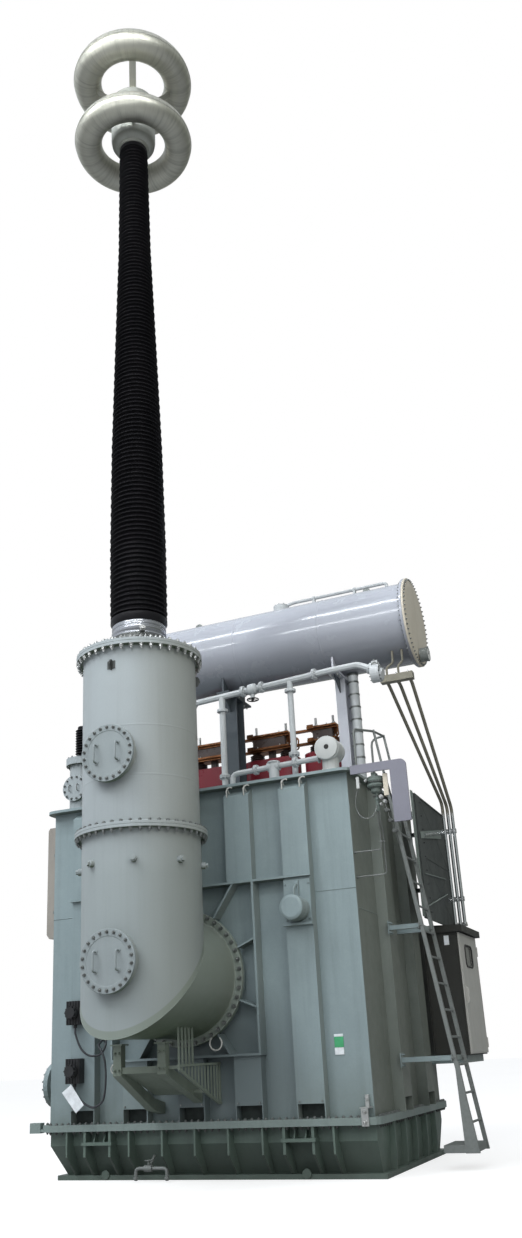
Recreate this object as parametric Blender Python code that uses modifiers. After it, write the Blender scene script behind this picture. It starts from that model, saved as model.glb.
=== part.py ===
"""Large single-phase power transformer with a side-mounted high-voltage turret.

Metres, +Z up. The origin is the centre of the base plate's underside. -Y is the
side of the high-voltage turret, +X the end with the ladder and control cabinet.
"""

import math

import bmesh
import bpy
from mathutils import Matrix, Vector

# ---------------------------------------------------------------- dimensions
GAP = 0.0003                # clearance left where two pieces touch

FL_X, FL_Y = 2.413, 1.855   # half sizes of the bolted flanges of the tank
WALL_X, WALL_Y = 2.32, 1.70  # half sizes of the tank, over its wall plates
WALL_T = 0.03               # wall plate thickness
BASE_X0, BASE_X1 = -2.25, 2.385
BASE_Y, BASE_T = 1.60, 0.06
Z_FL0, Z_FL1, Z_FL2 = 0.613, 0.655, 0.698   # lower and upper plate of the joint
Z_COVER0, Z_COVER1 = 5.010, 5.050           # cover plate
STIFF_W = 0.377             # width of a box stiffener
STIFF_D = 0.15              # its depth outside the wall
STIFF_TOP = 4.87            # top of its front face
STIFF_OPEN = 0.87           # its front plate ends here, above the flange
FRONT_STIFF_X = (-1.72, -0.91, -0.08, 0.73, 1.56)
SIDE_STIFF_Y = (-0.61, 0.64)
FRAME_Z0, FRAME_Z1 = 1.46, 3.65   # turret frame on the front wall

TX, TY, TZ = -0.152, -2.979, 2.48  # turret axis, and the height of its elbow
TR = 0.775                  # turret radius
T_FLANGE = 0.868            # radius of its bolted flanges
WALL_FLANGE = 0.884         # radius of the flange on the tank wall
Z_MID0, Z_MID1, Z_MID2 = 4.172, 4.210, 4.248
Z_TOP0, Z_TOP1, Z_TOP2 = 6.617, 6.659, 6.702
MANHOLE_R, MANHOLE_Z = 0.375, (5.13, 2.58)

BUSH_Z0, BUSH_Z1, BUSH_Z2 = 7.170, 16.060, 17.170
CAP_R = 0.375
RING_LOW = (16.22, 0.765, 0.228)     # height, radius of the tube's line, and of the tube
RING_HIGH = (17.615, 0.787, 0.239)

CONS_R, CONS_FLANGE, CONS_Z = 0.645, 0.708, 7.695
CONS_X0, CONS_X1 = -1.15, 3.16
POST_X = (-0.01, 1.86)

CABLE_R = 0.014

CAB_X0, CAB_X1 = 2.44, 2.96
CAB_Y0, CAB_Y1 = 1.20, 2.50
CAB_Z0, CAB_Z1 = 1.32, 3.09
ROOF_X1, ROOF_T = 3.045, 0.11
HINGE_X, HINGE_Y = 2.990, 2.472

# ---------------------------------------------------------------- scene
for old in list(bpy.data.objects):
    bpy.data.objects.remove(old, do_unlink=True)

PARTS = bpy.data.collections.new("power_transformer")
TOOLS = bpy.data.collections.new("cutters")
bpy.context.scene.collection.children.link(PARTS)
bpy.context.scene.collection.children.link(TOOLS)

FINISH = {
    "tank_paint": ((0.42, 0.47, 0.46), 0.45, 0.0),
    "lower_paint": ((0.24, 0.29, 0.27), 0.5, 0.0),
    "turret_paint": ((0.52, 0.55, 0.53), 0.4, 0.0),
    "conservator_paint": ((0.60, 0.62, 0.65), 0.25, 0.0),
    "end_paint": ((0.55, 0.53, 0.48), 0.45, 0.0),
    "pipe_paint": ((0.60, 0.62, 0.62), 0.4, 0.0),
    "dark_post": ((0.16, 0.18, 0.20), 0.5, 0.0),
    "portal_paint": ((0.50, 0.49, 0.56), 0.45, 0.0),
    "cabinet_paint": ((0.33, 0.32, 0.32), 0.5, 0.0),
    "aluminium": ((0.72, 0.72, 0.70), 0.3, 1.0),
    "steel": ((0.62, 0.63, 0.63), 0.35, 1.0),
    "silicone": ((0.02, 0.018, 0.02), 0.45, 0.0),
    "copper": ((0.55, 0.26, 0.12), 0.4, 0.9),
    "maroon": ((0.30, 0.04, 0.05), 0.4, 0.0),
    "glass": ((0.10, 0.11, 0.12), 0.1, 0.0),
    "black": ((0.03, 0.03, 0.03), 0.5, 0.0),
    "white": ((0.80, 0.80, 0.78), 0.4, 0.0),
}


def material(name, slot):
    """One material for each piece, from the slot's colour, roughness and metal."""
    color, rough, metal = FINISH[slot]
    made = bpy.data.materials.new(name)
    made.use_nodes = True
    shader = made.node_tree.nodes["Principled BSDF"]
    shader.inputs["Base Color"].default_value = (*color, 1.0)
    shader.inputs["Roughness"].default_value = rough
    shader.inputs["Metallic"].default_value = metal
    return made


# ---------------------------------------------------------------- tools
def loose(mesh, name="piece"):
    """A mesh as an object that isn't linked to the model yet."""
    obj = bpy.data.objects.new(name, mesh)
    TOOLS.objects.link(obj)
    obj.hide_render = True
    obj.display_type = "WIRE"
    return obj


def from_bmesh(bm):
    mesh = bpy.data.meshes.new("piece")
    bm.to_mesh(mesh)
    bm.free()
    return loose(mesh)


def box(lo, hi):
    """A block between two corners."""
    bm = bmesh.new()
    bmesh.ops.create_cube(bm, size=1.0)
    size = [hi[i] - lo[i] for i in range(3)]
    mid = [(hi[i] + lo[i]) / 2 for i in range(3)]
    bmesh.ops.scale(bm, vec=size, verts=bm.verts)
    bmesh.ops.translate(bm, vec=mid, verts=bm.verts)
    return from_bmesh(bm)


def turn_to(axis):
    """The rotation that takes +Z to an axis."""
    return Vector((0, 0, 1)).rotation_difference(Vector(axis)).to_matrix().to_4x4()


def rod(start, end, radius, sides=24, radius_end=None):
    """A cylinder, or a cone, from one point to another."""
    start, end = Vector(start), Vector(end)
    bm = bmesh.new()
    bmesh.ops.create_cone(
        bm, cap_ends=True, segments=sides, radius1=radius,
        radius2=radius if radius_end is None else radius_end,
        depth=(end - start).length,
        matrix=Matrix.Translation((start + end) / 2) @ turn_to(end - start))
    return from_bmesh(bm)


def evaluated(obj):
    """The mesh of an object with its modifiers, as a new loose object."""
    graph = bpy.context.evaluated_depsgraph_get()
    graph.update()
    mesh = bpy.data.meshes.new_from_object(obj.evaluated_get(graph))
    made = loose(mesh)
    made.matrix_world = obj.matrix_world.copy()
    bpy.data.objects.remove(obj, do_unlink=True)
    return made


def weld(obj, distance=1e-5):
    bm = bmesh.new()
    bm.from_mesh(obj.data)
    bmesh.ops.remove_doubles(bm, verts=bm.verts, dist=distance)
    bmesh.ops.recalc_face_normals(bm, faces=bm.faces)
    bm.to_mesh(obj.data)
    bm.free()
    return obj


def lathe(profile, steps=36, at=(0, 0, 0), axis=(0, 0, 1)):
    """A profile of (radius, height), run down its outer side, turned about Z."""
    bm = bmesh.new()
    last = None
    for radius, height in profile:
        vert = bm.verts.new((radius, 0, height))
        if last is not None:
            bm.edges.new((last, vert))
        last = vert
    obj = from_bmesh(bm)
    screw = obj.modifiers.new("Screw", "SCREW")
    screw.steps = screw.render_steps = steps
    screw.use_merge_vertices = True
    screw.merge_threshold = 0.0001
    obj = evaluated(obj)
    obj.data.transform(Matrix.Translation(at) @ turn_to(axis))
    return weld(obj)


def plate(outlines, depth, matrix):
    """A flat outline in its own XY plane, with holes, extruded depth along +Z."""
    data = bpy.data.curves.new("outline", "CURVE")
    data.dimensions = "2D"
    data.fill_mode = "BOTH"
    data.extrude = depth / 2
    for outline in outlines:
        spline = data.splines.new("POLY")
        spline.points.add(len(outline) - 1)
        for point, (u, v) in zip(spline.points, outline):
            point.co = (u, v, 0, 1)
        spline.use_cyclic_u = True
    obj = loose(data)
    obj = evaluated(obj)
    obj.data.transform(Matrix.Translation((0, 0, depth / 2)))
    obj.data.transform(matrix)
    return weld(obj)


def plane_yz(x):
    """Outline (y, z), extruded along +X from x."""
    return Matrix(((0, 0, 1, x), (1, 0, 0, 0), (0, 1, 0, 0), (0, 0, 0, 1)))


def plane_xz(y):
    """Outline (x, z), extruded along -Y from y."""
    return Matrix(((1, 0, 0, 0), (0, 0, -1, y), (0, 1, 0, 0), (0, 0, 0, 1)))


def plane_xy(z):
    """Outline (x, y), extruded along +Z from z."""
    return Matrix.Translation((0, 0, z))


def circle(cx, cy, radius, sides):
    return [(cx + radius * math.cos(math.tau * i / sides),
             cy + radius * math.sin(math.tau * i / sides)) for i in range(sides)]


def rounded(x0, y0, x1, y1, radius, steps=4):
    """A rectangle with round corners."""
    points = []
    for cx, cy, start in ((x1 - radius, y1 - radius, 0), (x0 + radius, y1 - radius, 90),
                          (x0 + radius, y0 + radius, 180), (x1 - radius, y0 + radius, 270)):
        for i in range(steps + 1):
            a = math.radians(start + 90 * i / steps)
            points.append((cx + radius * math.cos(a), cy + radius * math.sin(a)))
    return points


def tube(points, radius, sides=3):
    """A round bar along points, as a welded mesh."""
    data = bpy.data.curves.new("tube", "CURVE")
    data.dimensions = "3D"
    data.bevel_depth = radius
    data.bevel_resolution = sides - 1
    data.use_fill_caps = True
    spline = data.splines.new("POLY")
    spline.points.add(len(points) - 1)
    for point, co in zip(spline.points, points):
        point.co = (*co, 1)
    return weld(evaluated(loose(data)))


def bend(points, radius, steps=3):
    """A path of straight runs with its corners rounded."""
    points = [Vector(p) for p in points]
    out = [points[0]]
    for before, here, after in zip(points, points[1:], points[2:]):
        a = here + (before - here).normalized() * radius
        b = here + (after - here).normalized() * radius
        for i in range(steps + 1):
            t = i / steps
            out.append(a * (1 - t) ** 2 + here * 2 * t * (1 - t) + b * t * t)
    out.append(points[-1])
    return out


def combine(base, others, operation):
    for other in others:
        step = base.modifiers.new("Boolean", "BOOLEAN")
        step.solver = "EXACT"
        step.operation = operation
        step.object = other
        base = evaluated(base)
        bpy.data.objects.remove(other, do_unlink=True)
    return base


def union(*pieces):
    return combine(pieces[0], pieces[1:], "UNION")


def cut(base, *cutters):
    return combine(base, cutters, "DIFFERENCE")


def node(name, obj, slot, smooth=None):
    """Names a finished piece, gives it its material and puts it in the model."""
    made = bpy.data.objects.new(name, obj.data)
    made.data.name = name
    made.data.transform(obj.matrix_world)
    bpy.data.objects.remove(obj, do_unlink=True)
    made.data.materials.clear()
    made.data.materials.append(material(name, slot))
    if smooth:
        made.data.shade_smooth()
        made.data.set_sharp_from_angle(angle=math.radians(smooth))
    PARTS.objects.link(made)
    return made


# ---------------------------------------------------------------- tank base
node("base_plate", box((BASE_X0, -BASE_Y, 0), (BASE_X1, BASE_Y, BASE_T)), "lower_paint")


def hull(inset, z_low, z_high):
    """The lower tank's block: upright above the bend, drawn in to the base below it."""
    z_bend = 0.43
    body = box((-1, -1, z_low), (1, 1, z_high))
    bm = bmesh.new()
    bm.from_mesh(body.data)
    bmesh.ops.bisect_plane(bm, geom=bm.verts[:] + bm.edges[:] + bm.faces[:],
                           plane_co=(0, 0, z_bend), plane_no=(0, 0, 1))
    for vert in bm.verts:
        low = max(0.0, (z_bend - vert.co.z) / (z_bend - BASE_T))
        vert.co.x *= WALL_X - inset - low * (0.16 if vert.co.x < 0 else 0.02)
        vert.co.y *= WALL_Y - 0.02 - inset - low * 0.20
    bm.to_mesh(body.data)
    bm.free()
    return body


def lower_rib(y_sign, x, thick):
    """A plate rib under the joint flange, drawn in to the base at its foot."""
    out = [(1.465, BASE_T + 0.001), (1.595, BASE_T + 0.001), (1.835, 0.30), (1.835, Z_FL0 - 0.001),
           (1.662, Z_FL0 - 0.001), (1.662, 0.43)]
    points = [(y_sign * y, z) for y, z in out]
    return plate([points], thick, plane_yz(x - thick / 2))


def side_rib(x_sign, y, thick):
    foot = 2.145 if x_sign < 0 else 2.285
    out = [(foot, BASE_T + 0.001), (foot + 0.095, BASE_T + 0.001), (2.395, 0.30),
           (2.395, Z_FL0 - 0.001), (2.305, Z_FL0 - 0.001), (2.305, 0.43)]
    points = [(x_sign * x, z) for x, z in out]
    return plate([points], thick, plane_xz(y + thick / 2))


def jacking_pad(x, y_sign):
    """Two thick side plates with a bearing plate between them, under the flange."""
    pieces = []
    for dx in (-0.19, 0.19):
        pieces.append(lower_rib(y_sign, x + dx, 0.035))
    y0, y1 = sorted((y_sign * 1.662, y_sign * 1.85))
    pieces.append(box((x - 0.225, y0, 0.440), (x + 0.225, y1, 0.480)))
    for dx in (-0.075, 0.075):
        points = [(y_sign * 1.662, 0.47), (y_sign * 1.80, 0.47), (y_sign * 1.72, Z_FL0 - 0.001),
                  (y_sign * 1.662, Z_FL0 - 0.001)]
        pieces.append(plate([points], 0.02, plane_yz(x + dx - 0.01)))
    return pieces


lower = hull(0.0, BASE_T + GAP, Z_FL0 - GAP)
ribs = []
for sign in (-1, 1):
    for x in (-1.97, -1.02, -0.53, -0.06, 0.41, 0.88, 1.82):
        ribs.append(lower_rib(sign, x, 0.025))
    for x in (-1.50, 1.36):
        ribs += jacking_pad(x, sign)
    for y in (-1.13, -0.60, -0.06, 0.49, 1.02):
        ribs.append(side_rib(sign, y, 0.025))
lower = cut(lower, hull(0.03, BASE_T + 0.03, 0.9))
lower = union(lower, *ribs)
node("lower_tank", lower, "lower_paint")


def ring_plate(z0, z1):
    outer = rounded(-FL_X, -FL_Y, FL_X, FL_Y, 0.16)
    inner = rounded(-2.20, -1.60, 2.20, 1.60, 0.10)
    return plate([outer, inner], z1 - z0, plane_xy(z0))


lug = union(box((-2.585, -1.80, 0.60), (-FL_X - 0.001, -1.70, 0.73)),
            box((-2.45, -1.795, Z_FL0 + 0.004), (-2.34, -1.705, Z_FL1 - 0.004)))
node("tank_lower_flange", union(ring_plate(Z_FL0, Z_FL1 - GAP), lug), "tank_paint")
node("tank_upper_flange", ring_plate(Z_FL1, Z_FL2), "tank_paint")

# Core, coils and oil fill the closed tank.
node("core_and_coils", box((-1.95, -1.32, 0.1203), (1.95, 1.32, 4.95)), "steel")


# ---------------------------------------------------------------- tank walls
def stiffener(z0, z1, sloped, open_foot):
    """A hollow box stiffener standing out along -Y from y = 0, centred on x = 0."""
    d, w, t = STIFF_D, STIFF_W / 2, 0.014
    slope = 0.10 if sloped else 0.0
    outer = [(0.02, z0), (-d, z0), (-d, z1), (0.02, z1 + slope * 1.2)]
    inner = [(0.001, z0 - 0.1), (-d + t, z0 - 0.1), (-d + t, z1 - t), (0.001, z1 - t)]
    body = plate([outer], 2 * w, plane_yz(-w))
    body = cut(body, plate([inner], 2 * (w - t), plane_yz(-w + t)))
    if open_foot:
        body = cut(body, box((-w + t, -d - 0.05, z0 - 0.05),
                             (w - t, -d + t + 0.01, STIFF_OPEN)))
    return body


def placed(obj, x, y, turn):
    obj.data.transform(Matrix.Translation((x, y, 0)) @ Matrix.Rotation(math.radians(turn), 4, "Z"))
    return obj


Z_W0, Z_W1 = Z_FL2 + GAP, Z_COVER0 - GAP


def long_wall(turn, broken):
    """The front or back wall: its plate with five box stiffeners."""
    wall = box((-WALL_X, -WALL_Y, Z_W0), (WALL_X, -WALL_Y + WALL_T, Z_W1))
    pieces = []
    for i, x in enumerate(FRONT_STIFF_X):
        if broken and 1 <= i <= 3:
            runs = ((Z_W0, FRAME_Z0 - GAP, False, True), (FRAME_Z1 + 0.03 + GAP, STIFF_TOP, True, False))
        else:
            runs = ((Z_W0, STIFF_TOP, True, True),)
        for run in runs:
            pieces.append(placed(stiffener(*run), x, -WALL_Y, 0))
    wall = union(wall, *pieces)
    wall.data.transform(Matrix.Rotation(math.radians(turn), 4, "Z"))
    return wall


def short_wall(sign):
    wall = box((WALL_X - WALL_T, -WALL_Y + WALL_T + GAP, Z_W0),
               (WALL_X, WALL_Y - WALL_T - GAP, Z_W1))
    pieces = [placed(stiffener(Z_W0, STIFF_TOP, True, True), WALL_X, y, 90)
              for y in SIDE_STIFF_Y]
    wall = union(wall, *pieces)
    if sign < 0:
        wall.data.transform(Matrix.Rotation(math.pi, 4, "Z"))
    return wall


node("front_wall", long_wall(0, True), "tank_paint")
node("back_wall", long_wall(180, False), "tank_paint")
node("right_wall", short_wall(1), "tank_paint")
node("left_wall", short_wall(-1), "tank_paint")
node("cover_plate", plate([rounded(-FL_X, -FL_Y, FL_X, FL_Y, 0.16)],
                          Z_COVER1 - Z_COVER0, plane_xy(Z_COVER0)), "tank_paint")

# ---------------------------------------------------------------- turret frame
f_out, f_in, f_face = -1.905, -WALL_Y - GAP, -WALL_Y - STIFF_D - GAP
half = 1.10                 # from the turret's axis to the upright plates
ft = 0.03                   # plate thickness
left_in, right_in = -1.72 + STIFF_W / 2 + 0.001, 1.56 - STIFF_W / 2 - 0.001
z0, z1 = FRAME_Z0, FRAME_Z1
outer = [(TX - half, z0), (TX + half, z0), (TX + half, z1), (right_in, z1), (right_in, z1 + ft),
         (left_in, z1 + ft), (left_in, z1), (TX - half, z1)]
hole = [(TX - half + ft, z0 + ft), (TX + half - ft, z0 + ft), (TX + half - ft, z1 + 0.001),
        (TX - half + ft, z1 + 0.001)]
frame = plate([outer, hole], f_in - f_out, plane_xz(f_in))
pieces = []
for angle in (22, 56, 124, 158, 202, 236, 304, 338):
    a = math.radians(angle)
    reach = 0.012 + min((half - ft) / abs(math.cos(a)),
                        ((z1 - TZ) if math.sin(a) > 0 else (TZ - z0 - ft)) / abs(math.sin(a)))
    rib = box((WALL_FLANGE + 0.012, f_out + 0.006, -0.011), (reach, f_in - 0.002, 0.011))
    rib.data.transform(Matrix.Translation((TX, 0, TZ)) @ Matrix.Rotation(-a, 4, "Y"))
    pieces.append(rib)
# Arms that carry the frame over the outer stiffeners.
for x0, x1 in ((right_in - 0.05, 1.765), (-1.925, left_in + 0.05)):
    pieces.append(box((x0, f_out + 0.002, z1 + 0.002), (x1, f_face, z1 + ft - 0.002)))
frame = union(frame, *pieces)
node("turret_frame", frame, "tank_paint")

# ---------------------------------------------------------------- turret
AXIS_Y = (0, 1, 0)
node("turret_wall_flange", lathe(
    [(0.0, 0.14), (WALL_FLANGE, 0.14), (WALL_FLANGE, 0.10), (0.80, 0.10), (0.80, GAP), (0.0, GAP)],
    at=(TX, -WALL_Y, TZ), axis=(0, -1, 0)), "tank_paint", smooth=30)


def elbow():
    """An upright pipe with a mitred end, carried on towards the tank wall."""
    bm = bmesh.new()
    bmesh.ops.create_cone(bm, cap_ends=True, segments=36, radius1=TR, radius2=TR, depth=1.0)
    for vert in bm.verts:
        if vert.co.z > 0:
            vert.co.z = Z_MID1 - 0.02
        else:
            vert.co.z = TZ + vert.co.y
    bmesh.ops.translate(bm, vec=(TX, TY, 0), verts=bm.verts)
    foot = [f for f in bm.faces if len(f.verts) == 36 and f.calc_center_median().z < TZ + 0.1]
    grown = bmesh.ops.extrude_face_region(bm, geom=foot)
    for item in grown["geom"]:
        if isinstance(item, bmesh.types.BMVert):
            item.co.y = -WALL_Y - 0.16
    bmesh.ops.delete(bm, geom=foot, context="FACES_ONLY")
    bmesh.ops.recalc_face_normals(bm, faces=bm.faces)
    return from_bmesh(bm)


def nozzle(z):
    """A short manhole neck with its flange on the turret's front."""
    y0 = TY - TR
    return union(rod((TX + 0.02, TY - 0.5, z), (TX + 0.02, y0 - 0.11, z), 0.30, 24),
                 rod((TX + 0.02, y0 - 0.08, z), (TX + 0.02, y0 - 0.12, z), MANHOLE_R, 24))


node("turret_elbow", union(
    elbow(),
    rod((TX, TY, Z_MID0), (TX, TY, Z_MID1 - GAP), T_FLANGE, 36),
    rod((TX, -WALL_Y - 0.14 - GAP, TZ), (TX, -WALL_Y - 0.19, TZ), WALL_FLANGE, 36),
    nozzle(MANHOLE_Z[1])), "turret_paint", smooth=30)
node("turret_upper", union(
    lathe([(0, Z_TOP1 - GAP), (T_FLANGE, Z_TOP1 - GAP), (T_FLANGE, Z_TOP0), (TR, Z_TOP0),
           (TR, Z_MID2), (T_FLANGE, Z_MID2), (T_FLANGE, Z_MID1), (0, Z_MID1)], at=(TX, TY, 0)),
    nozzle(MANHOLE_Z[0])), "turret_paint", smooth=30)
node("turret_top_plate", lathe(
    [(0, Z_TOP2), (T_FLANGE, Z_TOP2), (T_FLANGE, Z_TOP1), (0, Z_TOP1)], at=(TX, TY, 0)),
    "turret_paint", smooth=30)
for name, z in (("manhole_cover_upper", MANHOLE_Z[0]), ("manhole_cover_lower", MANHOLE_Z[1])):
    y0 = TY - TR - 0.12 - GAP
    node(name, rod((TX + 0.02, y0, z), (TX + 0.02, y0 - 0.03, z), MANHOLE_R, 24),
         "turret_paint", smooth=30)

# Bracket between the elbow and the tank wall, on two legs.
legs = []
for x, end, low in ((-0.60, f_in, 0.80), (0.02, f_face, 0.92)):
    # upright leg under the elbow, and a box beam sloping down to the wall
    leg = [(-2.86, 1.30), (-2.74, 1.30), (-2.74, 1.668), (-2.86, 1.668)]
    beam = [(-2.86, 1.30), (-2.86, 1.42), (-2.0, low + 0.20), (end, low + 0.14), (end, low), (-2.0, low + 0.06)]
    legs.append(plate([leg], 0.12, plane_yz(x - 0.06)))
    legs.append(plate([beam], 0.12, plane_yz(x - 0.06)))
legs.append(box((-0.60, -2.84, 1.32), (0.02, -2.76, 1.40)))
# a sloping plate between the beams, and the guard beside them on two ties
legs.append(plate([[(-2.83, 1.34), (-2.83, 1.36), (-2.0, 1.07), (-1.87, 1.05), (-1.87, 1.03), (-2.0, 1.05)]],
                  0.62, plane_yz(-0.60)))
legs.append(box((0.05, -2.80, 1.35), (0.27, -2.76, 1.39)))
legs.append(box((0.05, -2.10, 1.05), (0.27, -2.06, 1.09)))
guard = [(f_in, 0.90), (f_in, 1.40), (-2.90, 1.40), (-2.90, 1.34), (-1.78, 0.90)]
legs.append(plate([guard], 0.02, plane_yz(0.26)))
node("elbow_bracket", union(*legs), "tank_paint")

# ---------------------------------------------------------------- bushing
node("bushing_base", lathe(
    [(0, BUSH_Z0), (0.385, BUSH_Z0), (0.385, 6.98), (0.43, 6.90), (0.60, 6.80),
     (0.60, Z_TOP2 + GAP), (0, Z_TOP2 + GAP)], at=(TX, TY, 0)), "aluminium", smooth=30)
BODY = ((BUSH_Z0, 0.407), (8.42, 0.409), (10.11, 0.384), (11.94, 0.329), (13.93, 0.266), (BUSH_Z1, 0.241))
profile = [(0, BUSH_Z1)] + [(r, z) for z, r in reversed(BODY)] + [(0, BUSH_Z0)]
profile[-2] = (0.407, BUSH_Z0 + GAP)
profile[-1] = (0, BUSH_Z0 + GAP)
node("bushing_insulator", lathe(profile, steps=32, at=(TX, TY, 0)), "silicone", smooth=30)
node("bushing_cap", lathe(
    [(0, BUSH_Z2), (0.33, BUSH_Z2), (CAP_R, BUSH_Z2 - 0.04), (CAP_R, BUSH_Z1 + 0.20),
     (0.335, BUSH_Z1 + 0.10), (0.27, BUSH_Z1 + 0.05), (0.25, BUSH_Z1 + GAP), (0, BUSH_Z1 + GAP)], steps=32, at=(TX, TY, 0)),
    "aluminium", smooth=30)


def grading_ring(z, major, minor):
    bpy.ops.mesh.primitive_torus_add(major_segments=32, minor_segments=10,
                                     major_radius=major, minor_radius=minor,
                                     location=(TX, TY, z))
    obj = bpy.context.object
    for owner in list(obj.users_collection):
        owner.objects.unlink(obj)
    mesh = obj.data
    mesh.transform(obj.matrix_world)
    bpy.data.objects.remove(obj, do_unlink=True)
    return loose(mesh)


def spoke(angle, a, b, width=0.06, thick=0.016):
    """A flat bar from (radius, height) a to b, at an angle about the turret's axis."""
    (r0, z0), (r1, z1) = a, b
    bar = box((0, -width / 2, -thick / 2), (math.hypot(r1 - r0, z1 - z0), width / 2, thick / 2))
    bar.data.transform(Matrix.Translation((TX, TY, 0)) @ Matrix.Rotation(math.radians(angle), 4, "Z")
                       @ Matrix.Translation((r0, 0, z0)) @ Matrix.Rotation(-math.atan2(z1 - z0, r1 - r0), 4, "Y"))
    return bar


SPOKES = (28.5, 118.5, 208.5, 298.5)
node("grading_ring_lower", union(grading_ring(*RING_LOW), *[
    spoke(a, (CAP_R + 0.003, RING_LOW[0] + 0.10), (0.66, RING_LOW[0] + 0.02)) for a in SPOKES[1::2]]),
    "aluminium", smooth=40)
node("grading_ring_upper", union(grading_ring(*RING_HIGH), *[
    union(spoke(a, (0.315, BUSH_Z2 + 0.012), (0.70, RING_HIGH[0] - 0.12)),
          spoke(a, (0.10, BUSH_Z2 + 0.021), (0.345, BUSH_Z2 + 0.021), 0.05, 0.020)) for a in SPOKES],
    rod((TX, TY, BUSH_Z2 + GAP), (TX, TY, BUSH_Z2 + 0.04), 0.16, 24)),
    "aluminium", smooth=40)

# ---------------------------------------------------------------- conservator
shell = lathe([(CONS_R, CONS_X1 - 0.10), (CONS_R, CONS_X0 + 0.06), (CONS_R - 0.02, CONS_X0 + 0.06),
               (CONS_R - 0.02, CONS_X1 - 0.10), (CONS_R, CONS_X1 - 0.10)],
              at=(0, 0, CONS_Z), axis=(1, 0, 0))
shell = union(shell, lathe([(CONS_FLANGE, CONS_X1 - 0.06), (CONS_FLANGE, CONS_X1 - 0.10), (CONS_R - 0.015, CONS_X1 - 0.10),
                            (CONS_R - 0.015, CONS_X1 - 0.06), (CONS_FLANGE, CONS_X1 - 0.06)],
                           at=(0, 0, CONS_Z), axis=(1, 0, 0)))
node("conservator_shell", shell, "conservator_paint", smooth=30)
node("conservator_end_right", lathe(
    [(0, CONS_X1), (0.60, CONS_X1 - 0.01), (CONS_FLANGE, CONS_X1 - 0.03), (CONS_FLANGE, CONS_X1 - 0.06 + GAP),
     (0, CONS_X1 - 0.06 + GAP)], at=(0, 0, CONS_Z), axis=(1, 0, 0)), "end_paint", smooth=30)
node("conservator_end_left", lathe(
    [(0, CONS_X0 + 0.06 - GAP), (CONS_R, CONS_X0 + 0.06 - GAP), (CONS_R - 0.04, CONS_X0 + 0.02),
     (0.40, CONS_X0 - 0.03), (0, CONS_X0 - 0.05)], at=(0, 0, CONS_Z), axis=(1, 0, 0)),
    "conservator_paint", smooth=30)


def i_beam(x, z0, z1, depth, width, web=0.014, flange=0.02):
    """An I section standing upright, its web across X."""
    d, w = depth / 2, width / 2
    outline = [(x - w, -d), (x + w, -d), (x + w, -d + flange), (x + web / 2, -d + flange),
               (x + web / 2, d - flange), (x + w, d - flange), (x + w, d), (x - w, d),
               (x - w, d - flange), (x - web / 2, d - flange), (x - web / 2, -d + flange),
               (x - w, -d + flange)]
    return plate([outline], z1 - z0, plane_xy(z0))


def saddle(x, depth, width):
    """A post with its foot plate, and a saddle plate cut to the drum's underside."""
    post = i_beam(x, Z_COVER1 + 0.02, 6.98, depth, width)
    half = width / 2 + 0.010
    foot = box((x - half, -0.22, Z_COVER1 + GAP), (x + half, 0.22, Z_COVER1 + 0.025))
    head = box((x - half, -0.46, 6.95), (x + half, 0.46, 6.98))
    web = plate([[(-0.44, 6.96), (0.44, 6.96), (0.44, 7.30), (-0.44, 7.30)]], 0.03,
                plane_yz(x - 0.015))
    body = union(post, foot, head, web)
    return cut(body, rod((x - 1, 0, CONS_Z), (x + 1, 0, CONS_Z), CONS_R + 0.004, 96))


node("conservator_post_left", saddle(POST_X[0], 0.30, 0.20), "dark_post")
node("conservator_post_right", saddle(POST_X[1], 0.24, 0.16), "conservator_paint")

# Breather pipe over the drum, with its fitting.
top = CONS_Z + CONS_R
node("breather_pipe", union(
    tube(bend([(0.97, 0, top + 0.09), (1.12, 0, top + 0.13), (2.74, 0, top + 0.13),
               (2.74, 0, top + 0.001)], 0.06), 0.028),
    rod((0.92, 0, top + 0.001), (0.92, 0, top + 0.11), 0.13, 24)), "pipe_paint", smooth=40)

# Oil pipe along the drum's front underside, with two pipes down to the cover.
OY = -0.95
OIL_PATH = [(-0.75, OY, 6.650), (1.97, OY, 6.80), (2.40, OY, 6.81), (2.575, OY, 6.72)]
node("oil_pipe", union(
    tube(bend(OIL_PATH, 0.06), 0.05),
    rod((1.32, OY, Z_COVER1 + GAP), (1.32, OY, Z_COVER1 + 0.07), 0.17, 24),
    rod((1.32, OY, Z_COVER1 + 0.05), (1.32, OY, 6.76), 0.044, 16),
    rod((1.32, OY, 6.575), (1.32, OY, 6.615), 0.085, 20),
    rod((0.188, OY, Z_COVER1 + GAP), (0.188, OY, Z_COVER1 + 0.04), 0.11, 20),
    rod((0.188, OY, Z_COVER1 + 0.02), (0.188, OY, 6.70), 0.047, 16),
    rod((0.188, OY, 6.45), (0.188, OY, 6.49), 0.085, 20)), "pipe_paint", smooth=40)
node("gas_relay", union(
    rod((2.5758, OY, 6.7197), (2.615, OY, 6.70), 0.085, 20),
    rod((2.61, OY, 6.62), (2.74, OY, 6.62), 0.135, 24),
    box((2.63, OY - 0.06, 6.66), (2.72, OY + 0.06, 6.80)),
    rod((2.735, OY, 6.60), (2.775, OY, 6.59), 0.09, 20)), "pipe_paint", smooth=40)
BX, BY = 2.036, 0.04
node("banded_pipe", union(
    rod((BX, BY, Z_COVER1 + GAP), (BX, BY, 7.02), 0.077, 24),
    rod((BX, BY, Z_COVER1 + GAP), (BX, BY, Z_COVER1 + 0.03), 0.085, 24)),
    "pipe_paint", smooth=40)
node("level_gauge", rod((CONS_X1 - 0.002, 0.0, CONS_Z - 0.56), (CONS_X1 + 0.12, 0.0, CONS_Z - 0.56), 0.11, 24),
     "steel", smooth=40)

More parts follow.
